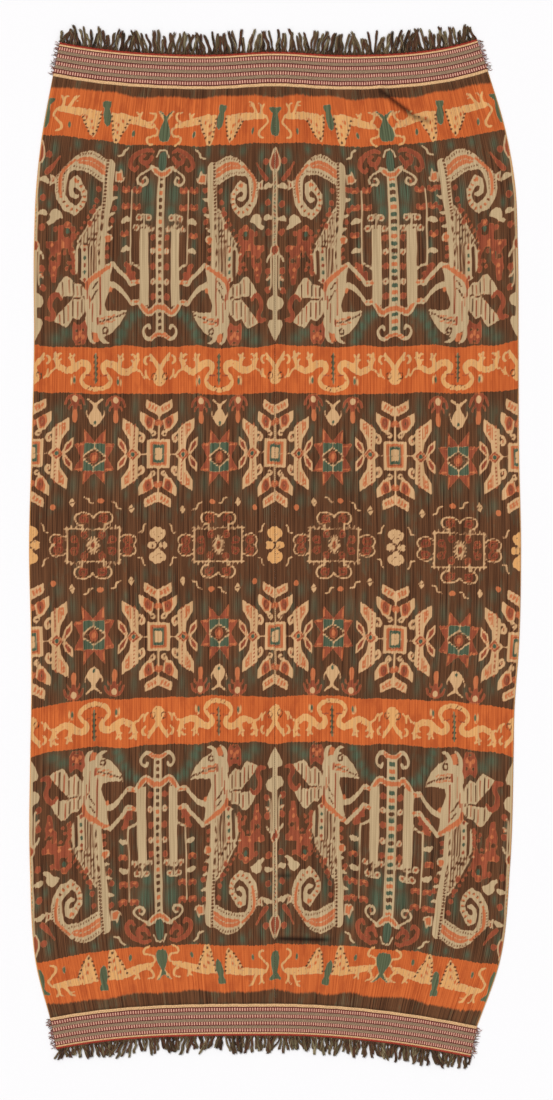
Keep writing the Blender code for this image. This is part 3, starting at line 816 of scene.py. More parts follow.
def draw_dragon(chart):
    """The great beast with a coiled tail, two arms at the column, two wings and a beaked head, and what
    stands round it."""
    pen = Pen(chart)
    for x, y, rx, ry in (
        (42, 345, 4, 14), (94, 212, 9, 7), (102, 206, 9, 7), (68, 350, 4, 16), (104, 396, 4, 9),
        (82, 400, 4, 6),
        (114, 382, 4, 10), (44, 396, 3, 8), (36, 300, 3, 12), (118, 350, 3, 9), (120, 268, 3, 9),
        (40, 372, 3, 8),
        (110, 340, 3, 6), (88, 262, 3, 6), (66, 236, 3, 6), (30, 402, 4, 5), (60, 398, 4, 5),
    ):
        pen.wash(x, y, rx, ry, BEAST_WASH)
    pen.stroke(CREAM, *BODY)
    pen.area(CREAM, *TAIL_OUTLINE)
    pen.area(ORANGE, *TAIL_FLESH)
    pen.dashes(
        CREAM, ((82, 382, 1), (74, 384, 1), (67.5, 382.6, 1), (61.6, 379, 1), (55, 374, 1)), 4.4, 3.2,
        width=0.55,
    )
    pen.dashes(
        BROWN, ((79.5, 389, 1), (74, 390.8, 1), (67.5, 391.2, 1), (61, 387.8, 1), (56, 384.6, 1)), 2.9,
        1.2, width=1.2,
    )
    pen.dashes(
        BROWN, (
            (85.4, 377.6, 1), (80.5, 377, 1), (74.2, 375.7, 1), (70.6, 374.4, 1), (63.4, 370.2, 1),
            (57.2, 366, 1),
        ),
        2.9, 1.2, width=1.1,
    )
    pen.stroke(
        ORANGE, (84.4, 384, 1.2), (90.8, 378.6, 1.2), (96.2, 373, 1.3), (98.8, 366, 1.4), (99.2, 358, 1.4),
        (98.4, 350, 1.2),
    )
    pen.dashes(
        BROWN, ((88, 382.8, 1), (95, 377, 1), (101, 369.6, 1), (101.8, 360, 1), (101.4, 351, 1)), 3.2, 1.4,
        width=0.65,
    )
    pen.dashes(
        BROWN, ((89.4, 376, 1), (93.8, 372.4, 1), (96, 366, 1), (96.2, 354, 1)), 3.4, 2.0, width=0.55,
    )
    pen.dashes(ORANGE, TAIL_CELLS, 5.4, 2.5, width=1.5)
    pen.dashes(BROWN, TAIL_CELLS[1:], 5.4, 1.0, width=1.7)
    pen.round(ORANGE, 84.2, 364.2, 1.6, 2.4)
    pen.dashes(BROWN, BACKBONE, 3.6, 2.1, width=1.4)
    pen.area(
        CREAM, (62, 301), (76, 300), (82.6, 299), (84.4, 290), (84, 276), (80, 266), (72, 261), (60, 262),
    )
    for x, low, high, half in (
        (79.6, 268, 296, 1.7), (70.6, 266, 299, 0.7), (68.0, 268, 301, 0.7), (65.8, 268, 301, 0.6),
        (63.6, 268, 303, 0.6),
    ):
        pen.stroke(BROWN, (x, low, half), (x, high, half))
    for i, y in enumerate((296, 288, 281, 274, 266)):
        pen.round(TEAL if i % 2 else RUST, 74.6, y, 1.6, 2.3)
    for step in range(7):
        x, y = 60.4 + 3.2 * step, 338 - 5.4 * step
        pen.dashes(CREAM, ((x, y + 0.8, 1), (x + 0.5, 300, 1)), 6.4, 4.9, width=1.0)
        pen.stroke(CREAM, (x, y, 1.0), (x + 2.6, y - 2.8, 0.9))
        pen.round(RUST, x + 5.2, y + 1.0, 1.6, 1.8)
    for y in (303, 296, 289, 282, 275):
        pen.round(RUST, 87.0, y, 1.9, 2.0)
        pen.stroke(CREAM, (84.4, y - 3, 0.8), (86.8, y - 3.6, 0.7))
    for x, y in ((44.5, 357), (45.5, 337), (47.5, 325), (61.5, 357), (63.5, 345), (66.5, 334), (70, 322)):
        pen.round(RUST, x, y, 2.5, 2.8)
    for x, y in ((46, 347), (48.5, 331), (51, 317)):
        pen.stroke(CREAM, (x + 1, y, 1.9), (x - 2.6, y + 1.2, 1.1))
    pen.round(CREAM, 52.4, 307, 5.0, 4.6, core=ORANGE, rim=1.8)
    for y in (296.5, 288):
        pen.round(RUST, 52.6, y, 2.2, 2.4)
    pen.area(
        CREAM, (42.6, 363), (45, 362.4), (44.7, 373), (40.2, 373), (38.8, 377), (37.4, 373), (36.3, 367.3),
        (34.2, 368), (35.6, 364), (39.5, 362.4), core=ORANGE, rim=1.5,
    )
    pen.area(CREAM, (109, 371), (103.5, 367.5), (103, 362), (109.5, 359), (108, 365), core=RUST, rim=1.6)
    pen.area(CREAM, *CHEST_AND_HEAD)
    pen.stroke(CREAM, (47.5, 281, 2.0), (55, 276, 3.4), (63, 270, 3.4), (70, 264, 3.0))
    pen.stroke(ORANGE, (49, 279, 1.2), (56, 275, 1.9), (64, 269, 2.2), (71, 263, 2.4), (72.6, 256, 1.6))
    pen.stroke(
        CREAM, (47.5, 281.5, 2.0), (42, 275, 2.0), (34, 267, 1.8), (30, 261, 2.0), (27, 262, 2.8),
        (20, 263.5, 1.6),
    )
    pen.stroke(
        CREAM, (48, 260, 3.2), (42, 257, 2.6), (34, 248.5, 1.8), (29, 242, 2.0), (26, 243, 3.0),
        (20, 243.5, 1.8),
    )
    for x, y in ((23.6, 262.6), (24, 243.6)):
        pen.round(ORANGE, x, y, 2.4, 1.4)
        pen.round(ORANGE, x + 5.0, y - 0.6, 1.2, 0.9)
    pen.round(ORANGE, 49.6, 255, 1.6, 2.8)
    pen.stroke(RUST, (72.2, 246, 0.8), (72, 264, 0.8))
    pen.stroke(RUST, (59.4, 230, 0.9), (59.6, 268, 0.8))
    for x, y in ((63, 262), (65.4, 258), (63, 254), (65.6, 250), (67.5, 246)):
        pen.stroke(BROWN, (x - 1.3, y + 1.4, 0.8), (x + 1.3, y - 1.4, 0.8))
    for x, low, high, colour in ((67, 222, 242, RUST), (63.5, 226, 246, CREAM), (70, 236, 250, RUST)):
        pen.stroke(colour, (x, low, 0.6), (x, high, 0.6))
    pen.stroke(RUST, (61.8, 226.4, 1.1), (61.4, 219.6, 1.0))
    pen.stroke(ORANGE, (60, 225.6, 0.75), (53, 227.2, 0.75), (45.5, 229.4, 0.7))
    pen.stroke(ORANGE, (60, 219.6, 0.75), (52, 221.4, 0.75), (45, 223.4, 0.7))
    pen.dashes(BROWN, ((59.4, 222.8, 1), (50, 225.2, 1), (33.8, 232, 1)), 3.4, 2.6, width=1.05)
    pen.ring(BROWN, 54.5, 213.6, 2.6, 2.8, 0.9)
    pen.stroke(CREAM, (60, 214, 2.8), (58.4, 206.5, 2.2), (55, 202.8, 1.7), (51, 202, 0.9))
    pen.stroke(CREAM, (71, 226, 3.2), (70.4, 212, 2.4), (68.6, 204.6, 1.9), (64.5, 201, 1.0))
    pen.area(ORANGE, (67, 211), (62, 211), (60.4, 203), (65.4, 202))
    for wing, stripes in (
        (
            UPPER_WING,
            (
                (96.5, 250, 263, BROWN), (90, 252, 266, RUST), (86, 251, 262, BROWN), (82, 249, 259, RUST),
                (78, 250, 258, BROWN),
            ),
        ),
        (
            LOWER_WING,
            (
                (96, 221, 236, BROWN), (91.5, 224, 240, RUST), (87, 229, 244, BROWN), (82, 227, 243, RUST),
                (78, 231, 244, BROWN), (100, 222, 230, RUST),
            ),
        ),
    ):
        pen.area(CREAM, *wing)
        for x, low, high, colour in stripes:
            pen.stroke(colour, (x, low, 0.75), (x, high, 0.75))
    pen.area(
        RUST, (86.1, 223.4), (82.8, 219.2), (79, 219.4), (74.6, 223.4), (72, 216.4), (72.7, 206.2),
        (75.2, 200.4), (84.1, 200.4), (87.3, 206.2), (87.6, 217.7),
    )
    for x in (76.6, 83.4):
        pen.round(BROWN, x, 214, 1.5, 1.7)
        pen.round(ORANGE, x, 207.4, 1.7, 2.4)
    pen.round(ORANGE, 80, 210.6, 1.5, 3.2)
    pen.round(BROWN, 80, 202.8, 2.2, 1.1)
    pen.round(RUST, 91.8, 319.8, 3.6, 3.6)
    pen.round(RUST, 86.6, 316, 2.6, 3.0)
    pen.round(RUST, 86.2, 309.6, 2.8, 3.0)
    pen.stroke(RUST, (97.3, 318, 1.6), (97.4, 309, 1.6), (95, 305.4, 2.0), (88.6, 305, 2.2))
    pen.round(TEAL, 91.8, 313.6, 2.0, 3.0)
    pen.round(ORANGE, 91.8, 319.6, 1.6, 1.6)
    pen.round(RUST, 103.6, 315.2, 2.4, 2.8)
    pen.stroke(RUST, (99.6, 317.4, 1.4), (99.4, 302, 1.6))
    pen.area(
        RUST, (113.4, 303.2), (100, 302.6), (92, 305), (87.4, 303), (87.6, 290.6), (90.4, 290.4),
        (91, 296), (113.4, 296.6),
    )
    pen.area(
        RUST, (111, 297), (98, 297), (98.4, 281), (101.6, 277.4), (102, 271), (103.4, 263), (107.6, 262.6),
        (108.4, 271), (110.6, 276.4), (109.6, 283), (110.8, 288.6), (108.2, 290), (109, 293.4),
    )
    pen.round(BROWN, 106.2, 286.8, 2.6, 2.6)
    pen.stroke(BROWN, (102.6, 292, 0.8), (102.8, 284, 0.8))
    for x, y, r in (
        (96, 300, 1.8), (107, 300, 1.6), (104.6, 278, 1.8), (105.4, 271, 1.3), (99.6, 291, 1.2),
    ):
        pen.round(ORANGE, x, y, r, 1.3 * r)
    for x, y in (
        (94.6, 291.6), (90.6, 282.6), (85.6, 286), (85.6, 279.4), (85.4, 272.6), (116.2, 276.4),
        (117.4, 268.8), (92.4, 277),
    ):
        pen.round(RUST, x, y, 1.9, 2.0)
    pen.area(
        CREAM, (107.3, 334), (103, 335.6), (98.2, 332), (96, 326.4), (102.6, 324.4), (105.8, 320.9),
        (110.9, 319), (114.4, 321.2), (109, 325.4), (110, 329.8),
    )
    pen.stroke(RUST, (112, 372, 2.4), (107, 377, 2.4), (103, 382, 1.2), (99, 388, 0.9))
    pen.stroke(
        RUST, (98.6, 246, 1.4), (101.6, 250.4, 1.9), (105, 250, 2.6), (108.6, 245, 2.6),
        (109.4, 238, 2.3), (106.4, 231.6, 2.4),
        (108.4, 225.6, 2.6), (113.6, 226.4, 1.8),
    )


def draw_spear(chart):
    """The spear that stands at each edge of a panel, so that two halves meet at the seam."""
    pen = Pen(chart, EDGE, -3.4, -1)
    pen.area(
        CREAM, (-1, 399), (2.4, 396), (6.0, 387), (6.6, 380.6), (4.2, 374.6), (-1, 371.6), core=RUST,
        rim=1.7,
    )
    pen.stroke(CREAM, (0.8, 374, 1.9), (0.9, 300, 1.8), (0.9, 215, 1.6))
    pen.dashes(RUST, ((0, 370, 1), (0, 302, 1)), 8.0, 3.0, width=0.9)
    pen.dashes(TEAL, ((0, 366, 1), (0, 302, 1)), 8.0, 2.4, width=0.9)
    pen.stroke(CREAM, (3.0, 359.6, 1.0), (8.2, 359.6, 2.9), (11.6, 357.4, 1.8))
    pen.stroke(CREAM, (3.0, 327, 1.0), (8.2, 327.4, 2.9), (11, 326, 1.6))
    for x, y in ((7.6, 342), (7.2, 313.4), (8.4, 275), (8.8, 256), (10.4, 384)):
        pen.round(RUST, x, y, 3.2, 3.4)
    pen.round(CREAM, 0, 295.6, 5.2, 6.2, core=RUST, rim=1.5)
    pen.stroke(CREAM, (3.6, 293, 1.1), (8.0, 288, 1.2), (9.4, 284, 1.0))
    pen.stroke(CREAM, (4.6, 290, 0.8), (4.8, 262, 0.8), (6.4, 257, 0.9))
    pen.stroke(CREAM, (5, 270, 0.9), (9.4, 266, 1.1))
    pen.area(CREAM, (-1, 250), (3.4, 250.6), (8.2, 247.6), (9.6, 243), (7.4, 238), (3, 236.6), (-1, 236))
    pen.area(CREAM, (-1, 226.6), (6.4, 227), (8.2, 222.4), (4.6, 213.6), (-1, 203.6))


# How much of the trunk's extra width the fish above it share
FISH_GROWTH = 0.92


def draw_panel_chart(across, along, size):
    """The whole dye plan of one panel. across is the distance from the panel's axis and along the
    distance from the middle line, both in ties, and size widens the trunk."""
    chart = Chart(across, along)
    plan = chart.as_laid()
    draw_centre(chart)
    draw_trunk(chart, size)
    draw_dragon(plan)
    draw_spear(chart)
    draw_bands(chart)
    draw_end_band(chart, plan, 1 + FISH_GROWTH * (size - 1))
    draw_middle_band(chart)
    return chart


# Colours and materials
def linear(hexes):
    """An sRGB hex colour as linear red, green, blue and alpha."""
    values = np.array([int(hexes[i : i + 2], 16) for i in (1, 3, 5)]) / 255
    values = np.where(values <= 0.04045, values / 12.92, ((values + 0.055) / 1.055) ** 2.4)
    return (*values, 1.0)


def node(tree, kind, links=None, out=0, **settings):
    """Adds a node with these settings and links, and gives its output of this name or number. A key in
    links is an input's name or number, and its value is a plain value or another node's output."""
    made = tree.nodes.new("ShaderNode" + kind)
    for key, value in settings.items():
        setattr(made, key, value)
    for key, value in (links or {}).items():
        if isinstance(value, bpy.types.NodeSocket):
            tree.links.new(value, made.inputs[key])
        else:
            made.inputs[key].default_value = value
    return made.outputs[out]


def cotton(name, sheen=0.02):
    """A new matt yarn material: its node tree and its shader. Handspun cotton scatters light evenly
    and has a faint fuzz at grazing angles."""
    material = bpy.data.materials.new(name)
    material.use_nodes = True
    tree = material.node_tree
    shader = tree.nodes["Principled BSDF"]
    shader.inputs["Roughness"].default_value = 0.94
    shader.inputs["Specular IOR Level"].default_value = 0.06
    shader.inputs["Sheen Weight"].default_value = sheen
    shader.inputs["Sheen Roughness"].default_value = 0.6
    return material, tree, shader


# Each colour of the panels' yarn, from its dark streaks to its pale ones
TONES = {
    "cream": ("#9f8664", "#c6ab84"),
    "warm cream": ("#b08a5f", "#d8ad80"),
    "dull orange": ("#a3522f", "#c97a4f"),
    "bright orange": ("#a34923", "#d46e37"),
    "rust": ("#743826", "#a5563a"),
    "deep rust": ("#5a271c", "#924330"),
    "brown": ("#341f14", "#724a30"),
    "teal": ("#36402f", "#5b6650"),
    "olive teal": ("#474a33", "#6a7050"),
    "yellow": ("#c4884e", "#dfa96c"),
}
DEEP_ORANGE = "#9a4322"
DARK_RUST = "#5c2f20"
# The near-black brown of the painted shade in the folds' creases
FOLD_SHADE_COLOUR = "#1c0f0a"

# How wide and how long the yarns, the streaks of dye and the uneven patches are, in metres
YARN_ACROSS = 0.0016
YARN_WANDER = 0.055
STREAK_ACROSS = 0.0032
STREAK_ALONG = 0.320
PATCH_ACROSS = 0.030
PATCH_ALONG = 0.075
# How far the dyes bleed and the yarns slip, in ties
FEATHER = 0.42
YARN_SHIFT = 0.6
# How far the warmer cream and the deeper rust reach from the cloth's middle
WARM_REACH = 0.40
MEDALLION_REACH = 0.09
WEFT_PITCH = 0.00432
WAVE_PERIOD = math.pi / 10


def ikat_material():
    """Warp ikat cotton. The undyed yarn is cream, the red bath turns it orange, the blue bath teal and
    both dark brown. Each yarn slipped a little when it was wound and wetted, so edges are feathered
    along the warp, and each took its dyes a little differently, which streaks the grounds. The yarns
    are drawn 1.6 mm apart and the weft's ribs 4.3 mm apart, because finer ones wouldn't show. The
    photograph is too coarse to count the real ones, which are usually about 0.5 mm and 1 mm apart."""
    material, tree, shader = cotton("handspun_warp_ikat_cotton")
    place = node(tree, "UVMap", uv_map="weave")

    streaks = {}
    for name, across, along, detail, seed in (
        ("slip", YARN_ACROSS, YARN_WANDER, 2, 3.0),
        ("yarn", YARN_ACROSS, YARN_WANDER * 3, 3, 11.0),
        ("broad", STREAK_ACROSS, STREAK_ALONG, 3, 23.0),
        ("patch", PATCH_ACROSS, PATCH_ALONG, 3, 31.0),
    ):
        scale = {"Vector": place, "Scale": (1 / across, 1 / along, 1), "Location": (seed, seed, 0)}
        noise = {"Vector": node(tree, "Mapping", scale), "Scale": 1.0, "Detail": detail, "Roughness": 0.6}
        streaks[name] = node(tree, "TexNoise", noise, noise_dimensions="2D")
    yarn, broad, patch = streaks["yarn"], streaks["broad"], streaks["patch"]
    slip = node(
        tree, "Math", {0: streaks["slip"], 1: 2 * YARN_SHIFT, 2: -YARN_SHIFT}, operation="MULTIPLY_ADD",
    )
    streak = node(tree, "Math", {0: yarn, 1: 0.55}, operation="MULTIPLY")
    streak = node(tree, "Math", {0: broad, 1: 0.45, 2: streak}, operation="MULTIPLY_ADD")
    from_middle = node(tree, "SeparateXYZ", {0: place}, out="Y")
    from_middle = node(tree, "Math", {0: from_middle}, operation="ABSOLUTE")

    ramp = {}
    for name, value, low, high, first, last in (
        ("light", streak, 0.36, 0.64, 0, 1),
        ("missed patch", patch, 0.54, 0.66, 0, 1),
        ("missed yarn", yarn, 0.40, 0.62, 0, 1),
        ("green yarn", yarn, 0.28, 0.52, 0, 1),
        ("gold yarn", broad, 0.34, 0.50, 0.45, 1),
        ("orange patch", patch, 0.50, 0.68, 0, 0.5),
        ("rust patch", patch, 0.50, 0.66, 0, 0.45),
        ("middle field", from_middle, WARM_REACH, WARM_REACH + 0.05, 1, 0),
        ("medallions", from_middle, MEDALLION_REACH, MEDALLION_REACH + 0.02, 1, 0),
    ):
        span = {"Value": value, "From Min": low, "From Max": high, "To Min": first, "To Max": last}
        ramp[name] = node(tree, "MapRange", span)

    field = {
        name: node(tree, "Attribute", out="Fac", attribute_name=name)
        for name in (*Dye._fields, "green", "bright", "soil")
    }
    taken = {}
    for name in Dye._fields:
        slipped = node(tree, "Math", {0: field[name], 1: slip}, operation="ADD")
        soft = {"Value": slipped, "From Min": -FEATHER, "From Max": FEATHER}
        taken[name] = node(tree, "MapRange", soft, interpolation_type="SMOOTHSTEP")
    missed = node(tree, "Math", {0: ramp["missed patch"], 1: ramp["missed yarn"]}, operation="MULTIPLY")
    missed = node(tree, "Math", {0: missed, 1: 0.45}, operation="MULTIPLY")
    greened = node(tree, "Math", {0: field["green"], 1: ramp["green yarn"]}, operation="MULTIPLY")
    greened = node(tree, "Math", {0: greened, 1: missed}, operation="MAXIMUM")
    greened = node(tree, "Math", {0: greened, 1: taken["blue"]}, operation="MULTIPLY")
    red = node(tree, "Math", {0: 1.0, 1: greened}, operation="SUBTRACT")
    red = node(tree, "Math", {0: taken["red"], 1: red}, operation="MULTIPLY")
    gold = node(tree, "Math", {0: taken["gold"], 1: ramp["gold yarn"]}, operation="MULTIPLY")
    olive = node(tree, "Math", {0: field["bright"], 1: 0.6}, operation="MULTIPLY")
    # How strongly the painted shade in the folds' creases darkens the cloth
    fold_shade = node(tree, "Math", {0: field["soil"], 1: 0.93}, operation="MULTIPLY")

    tone = {"deep orange": linear(DEEP_ORANGE), "dark rust": linear(DARK_RUST), "fold_shade": linear(FOLD_SHADE_COLOUR)}
    for name, (dark, pale) in TONES.items():
        ends = {0: ramp["light"], 6: linear(dark), 7: linear(pale)}
        tone[name] = node(tree, "Mix", ends, out=2, data_type="RGBA")
    for name, share, first, second in (
        ("cream", ramp["middle field"], "cream", "warm cream"),
        ("bright orange", ramp["orange patch"], "bright orange", "deep orange"),
        ("orange", field["bright"], "dull orange", "bright orange"),
        ("rust", ramp["rust patch"], "rust", "dark rust"),
        ("rust", ramp["medallions"], "rust", "deep rust"),
        ("teal", olive, "teal", "olive teal"),
        ("red bath", taken["veil"], "orange", "rust"),
        ("red bath", red, "cream", "red bath"),
        ("blue bath", red, "teal", "brown"),
        ("cloth", taken["blue"], "red bath", "blue bath"),
        ("cloth", gold, "cloth", "yellow"),
        # the painted shade in the folds' creases, mixed over the cloth's colour
        ("cloth", fold_shade, "cloth", "fold_shade"),
    ):
        tone[name] = node(tree, "Mix", {0: share, 6: tone[first], 7: tone[second]}, out=2, data_type="RGBA")
    tree.links.new(tone["cloth"], shader.inputs["Base Color"])

    weft = node(tree, "Mapping", {"Vector": place, "Scale": (0, WAVE_PERIOD / WEFT_PITCH, 0)})
    rib = {"Vector": weft, "Scale": 1.0, "Distortion": 0.4}
    rib = node(tree, "TexWave", rib, out="Fac", bands_direction="Y")
    height = node(tree, "Math", {0: rib, 1: 0.35, 2: yarn}, operation="MULTIPLY_ADD")
    bump = node(tree, "Bump", {"Height": height, "Strength": 0.45, "Distance": 0.0006})
    tree.links.new(bump, shader.inputs["Normal"])
    return material


# The twined band's rows, as shares of its height from the panels outward, and its colours
LINE_SHARE = 0.086
DASH_START = 0.125
DASH_PERIOD = 0.217
DASH_SHARE = 0.42
DASH_ROWS = 4
DASH_PITCH = 0.0060
OUTER_LINE = 0.892
OUTER_EDGE = 0.940
INNER_CREAM = "#d2a87a"
MAROON = "#5a2a26"
DARK_PINK = "#7a3a33"
PALE_PINK = "#d5a38c"
GREY_TAN = "#8f765e"
OUTER_CREAM = "#d5ab7d"
EDGE_RED = "#9a3a2c"


def band_rows():
    """Where each row of the band starts and its colour, from the panels outward."""
    rows = [(0.0, INNER_CREAM), (LINE_SHARE, MAROON)]
    for i in range(DASH_ROWS):
        start = DASH_START + i * DASH_PERIOD
        rows.append((start - 0.012, MAROON))
        rows.append((start, DARK_PINK))
        rows.append((start + DASH_SHARE * DASH_PERIOD, MAROON))
        if i < DASH_ROWS - 1:
            rows.append((start + (DASH_SHARE + 0.12) * DASH_PERIOD, GREY_TAN))
    rows.append((OUTER_LINE, OUTER_CREAM))
    rows.append((OUTER_EDGE, EDGE_RED))
    return rows


def band_material():
    """Twined end band: cotton twined over bunches of warp, in rows of grey-tan, and rows of pink and
    cream dashes edged with maroon. Twining leaves small slanted floats in each row. The dashes are
    drawn 6 mm apart, because finer ones wouldn't show. The real pitch, guessed at half of that, can't
    be counted in the photograph."""
    material, tree, shader = cotton("twined_end_band_cotton")
    place = node(tree, "UVMap", uv_map="weave")
    along = node(tree, "SeparateXYZ", {0: place}, out="X")
    across = node(tree, "SeparateXYZ", {0: place}, out="Y")

    colour = node(tree, "ValToRGB", {0: across})
    ramp = colour.node.color_ramp
    ramp.interpolation = "CONSTANT"
    rows = band_rows()
    while len(ramp.elements) < len(rows):
        ramp.elements.new(0.5)
    for element, (start, row_colour) in zip(ramp.elements, rows):
        element.position = start
        element.color = linear(row_colour)

    last_dash = DASH_START + (DASH_ROWS - 1 + DASH_SHARE) * DASH_PERIOD
    period = {0: across, 1: 1 / DASH_PERIOD, 2: -DASH_START / DASH_PERIOD}
    period = node(
        tree, "Math", {0: node(tree, "Math", period, operation="MULTIPLY_ADD")}, operation="FRACT",
    )
    beat = node(tree, "Math", {0: along, 1: 1 / DASH_PITCH}, operation="MULTIPLY")
    beat = node(tree, "Math", {0: beat}, operation="FRACT")
    dash = node(tree, "Math", {0: beat, 1: 0.46}, operation="LESS_THAN")
    for value, operation, limit in (
        (period, "LESS_THAN", DASH_SHARE),
        (across, "GREATER_THAN", DASH_START),
        (across, "LESS_THAN", last_dash),
    ):
        inside = node(tree, "Math", {0: value, 1: limit}, operation=operation)
        dash = node(tree, "Math", {0: dash, 1: inside}, operation="MULTIPLY")
    colour = node(tree, "Mix", {0: dash, 6: colour, 7: linear(PALE_PINK)}, out=2, data_type="RGBA")

    speckle = node(tree, "Mapping", {"Vector": place, "Scale": (1 / 0.0030, 1 / 0.03, 1)})
    speckle = {"Vector": speckle, "Scale": 1.0, "Detail": 3.0}
    speckle = node(tree, "TexNoise", speckle, noise_dimensions="2D")
    shade = {"Value": speckle, "From Min": 0.3, "From Max": 0.7, "To Min": 0.66, "To Max": 1.26}
    shaded = {0: 1.0, 6: colour, 7: node(tree, "MapRange", shade)}
    colour = node(tree, "Mix", shaded, out=2, data_type="RGBA", blend_type="MULTIPLY")
    tree.links.new(colour, shader.inputs["Base Color"])

    slant = node(tree, "Math", {0: across, 1: 60.0}, operation="MULTIPLY")
    floats = {0: along, 1: 2 * math.pi / DASH_PITCH, 2: slant}
    floats = node(tree, "Math", {0: node(tree, "Math", floats, operation="MULTIPLY_ADD")}, operation="SINE")
    bump = node(tree, "Bump", {"Height": floats, "Strength": 0.35, "Distance": 0.0006})
    tree.links.new(bump, shader.inputs["Normal"])
    return material


def yarn_material(name, colours):
    """Loose cotton yarn: its colour runs from a dark to a light tone by the tone kept for each yarn."""
    material, tree, shader = cotton(name, sheen=0.05)
    tone = node(tree, "Attribute", out="Fac", attribute_name="tone")
    colour = node(tree, "ValToRGB", {0: tone})
    ramp = colour.node.color_ramp
    while len(ramp.elements) < len(colours):
        ramp.elements.new(0.5)
    for i, yarn_colour in enumerate(colours):
        ramp.elements[i].position = i / (len(colours) - 1)
        ramp.elements[i].color = linear(yarn_colour)
    tree.links.new(colour, shader.inputs["Base Color"])
    return material


def make_mesh(name, points, faces, material, smooth_shading=True):
    """An object from points and faces, whose place is in its mesh."""
    mesh = bpy.data.meshes.new(name)
    mesh.from_pydata(points, [], faces)
    mesh.materials.append(material)
    if smooth_shading:
        mesh.shade_smooth()
    piece = bpy.data.objects.new(name, mesh)
    bpy.context.scene.collection.objects.link(piece)
    return piece


def keep(mesh, name, values):
    """Keeps a number for each point of a mesh as an attribute."""
    layer = mesh.attributes.new(name, "FLOAT", "POINT")
    layer.data.foreach_set("value", np.asarray(values, np.float32))


def corner_points(mesh):
    """The point under each face corner."""
    corner = np.empty(len(mesh.loops), np.int32)
    mesh.loops.foreach_get("vertex_index", corner)
    return corner


def set_uv(mesh, name, values):
    """A UV map from a pair of numbers for each face corner."""
    layer = mesh.uv_layers.new(name=name)
    layer.data.foreach_set("uv", np.asarray(values, np.float32).ravel())


def grid_quads(rows, columns):
    """Quads over a grid of points stored row by row, as an array."""
    i, j = np.meshgrid(np.arange(rows - 1), np.arange(columns - 1), indexing="ij")
    a = (i * columns + j).ravel()
    return np.stack([a, a + 1, a + columns + 1, a + columns], axis=1)


def lowest_near(values, reach):
    """The lowest value within so many rows and columns of each point, so that a coarse underside stays
    below the fine top."""
    rows, columns = values.shape
    padded = np.pad(values, reach, mode="edge")
    down = np.min([padded[i:i + rows] for i in range(2 * reach + 1)], axis=0)
    return np.min([down[:, j:j + columns] for j in range(2 * reach + 1)], axis=0)


def closed_sheet(name, top, under, coarse, material):
    """A closed sheet from a fine grid of top points and every coarse-th of the under points, whose
    rims are joined by faces with a fine edge above and a coarse edge below."""
    rows, columns = top.shape[:2]
    under = np.dstack([under[..., :2], lowest_near(under[..., 2], coarse)])[::coarse, ::coarse]
    low_rows, low_columns = under.shape[:2]
    base = rows * columns
    quads = grid_quads(rows, columns).tolist()
    quads += (grid_quads(low_rows, low_columns)[:, ::-1] + base).tolist()

    def fine(i, j):
        return i * columns + j

    def low(i, j):
        return base + i * low_columns + j

    for j in range(low_columns - 1):
        span = range(j * coarse, (j + 1) * coarse + 1)
        quads.append([low(0, j), low(0, j + 1)] + [fine(0, k) for k in reversed(span)])
        quads.append([low(low_rows - 1, j + 1), low(low_rows - 1, j)] + [fine(rows - 1, k) for k in span])
    for i in range(low_rows - 1):
        span = range(i * coarse, (i + 1) * coarse + 1)
        quads.append([low(i + 1, 0), low(i, 0)] + [fine(k, 0) for k in span])
        last = low_columns - 1
        quads.append([low(i, last), low(i + 1, last)] + [fine(k, columns - 1) for k in reversed(span)])
    points = np.vstack([top.reshape(-1, 3), under.reshape(-1, 3)])
    if top[0, 0, 0] > top[0, -1, 0]:
        quads = [face[::-1] for face in quads]
    return make_mesh(name, points, quads, material), base


def both(values, coarse):
    """A grid of numbers for the top points, followed by those of the under points."""
    return np.r_[values.ravel(), values[::coarse, ::coarse].ravel()]


BAKE_MARGIN = 0.005


def bake_map(piece, fine_count, across, along, coarse):
    """A UV map named OFBake, with the top in its left half and the underside in its right."""
    corner = corner_points(piece.data)
    share = np.stack([both(across, coarse), both(along, coarse)], axis=1)[corner]
    half = np.where(corner >= fine_count, 0.5, 0.0)
    share[:, 0] = BAKE_MARGIN + (0.5 - 2 * BAKE_MARGIN) * share[:, 0] + half
    share[:, 1] = BAKE_MARGIN + (1 - 2 * BAKE_MARGIN) * share[:, 1]
    set_uv(piece.data, "OFBake", share)


# A panel's fine cells across and along, and how many of them one cell of its underside spans
CELLS_ACROSS = 185
CELLS_ALONG = 500
COARSE = 5
# Ties from the mid line, and the spacing wished for there between weft lines of points, in ties
LINE_SPACING = (
    (0, 1.9), (262, 1.9), (268, 2.7), (322, 2.7), (330, 1.35), (394, 1.35), (400, 1.7), (446, 1.8),
    (456, 3.0),
)


def station_lines():
    """The heights of the fine weft lines, closest together across the coiled tails."""
    y = np.linspace(BOTTOM_END, TOP_END, 4001)
    ties, spacing = np.transpose(LINE_SPACING)
    rate = 1 / np.interp(np.abs(y - CHART_MIDDLE) / TIE, ties, spacing)
    total = np.r_[0, np.cumsum((rate[1:] + rate[:-1]) / 2)]
    return np.interp(np.linspace(0, total[-1], CELLS_ALONG + 1), total, y)


def wander(x, y, seed):
    """A slow unevenness between -1 and 1, from four waves with shifted phases."""
    return (
        np.sin(x * 31 + y * 9 + seed) + np.sin(y * 23 - x * 11 + 2 * seed)
        + 0.6 * np.sin(x * 67 + 3 * seed) + 0.6 * np.sin(y * 71 + x * 20 + 5 * seed)
    ) / 3.2


# How far bundles slip, in ties, and over how many spans of the panel that changes
BUNDLE_SLIP = 0.40
SLIP_SPANS = 16


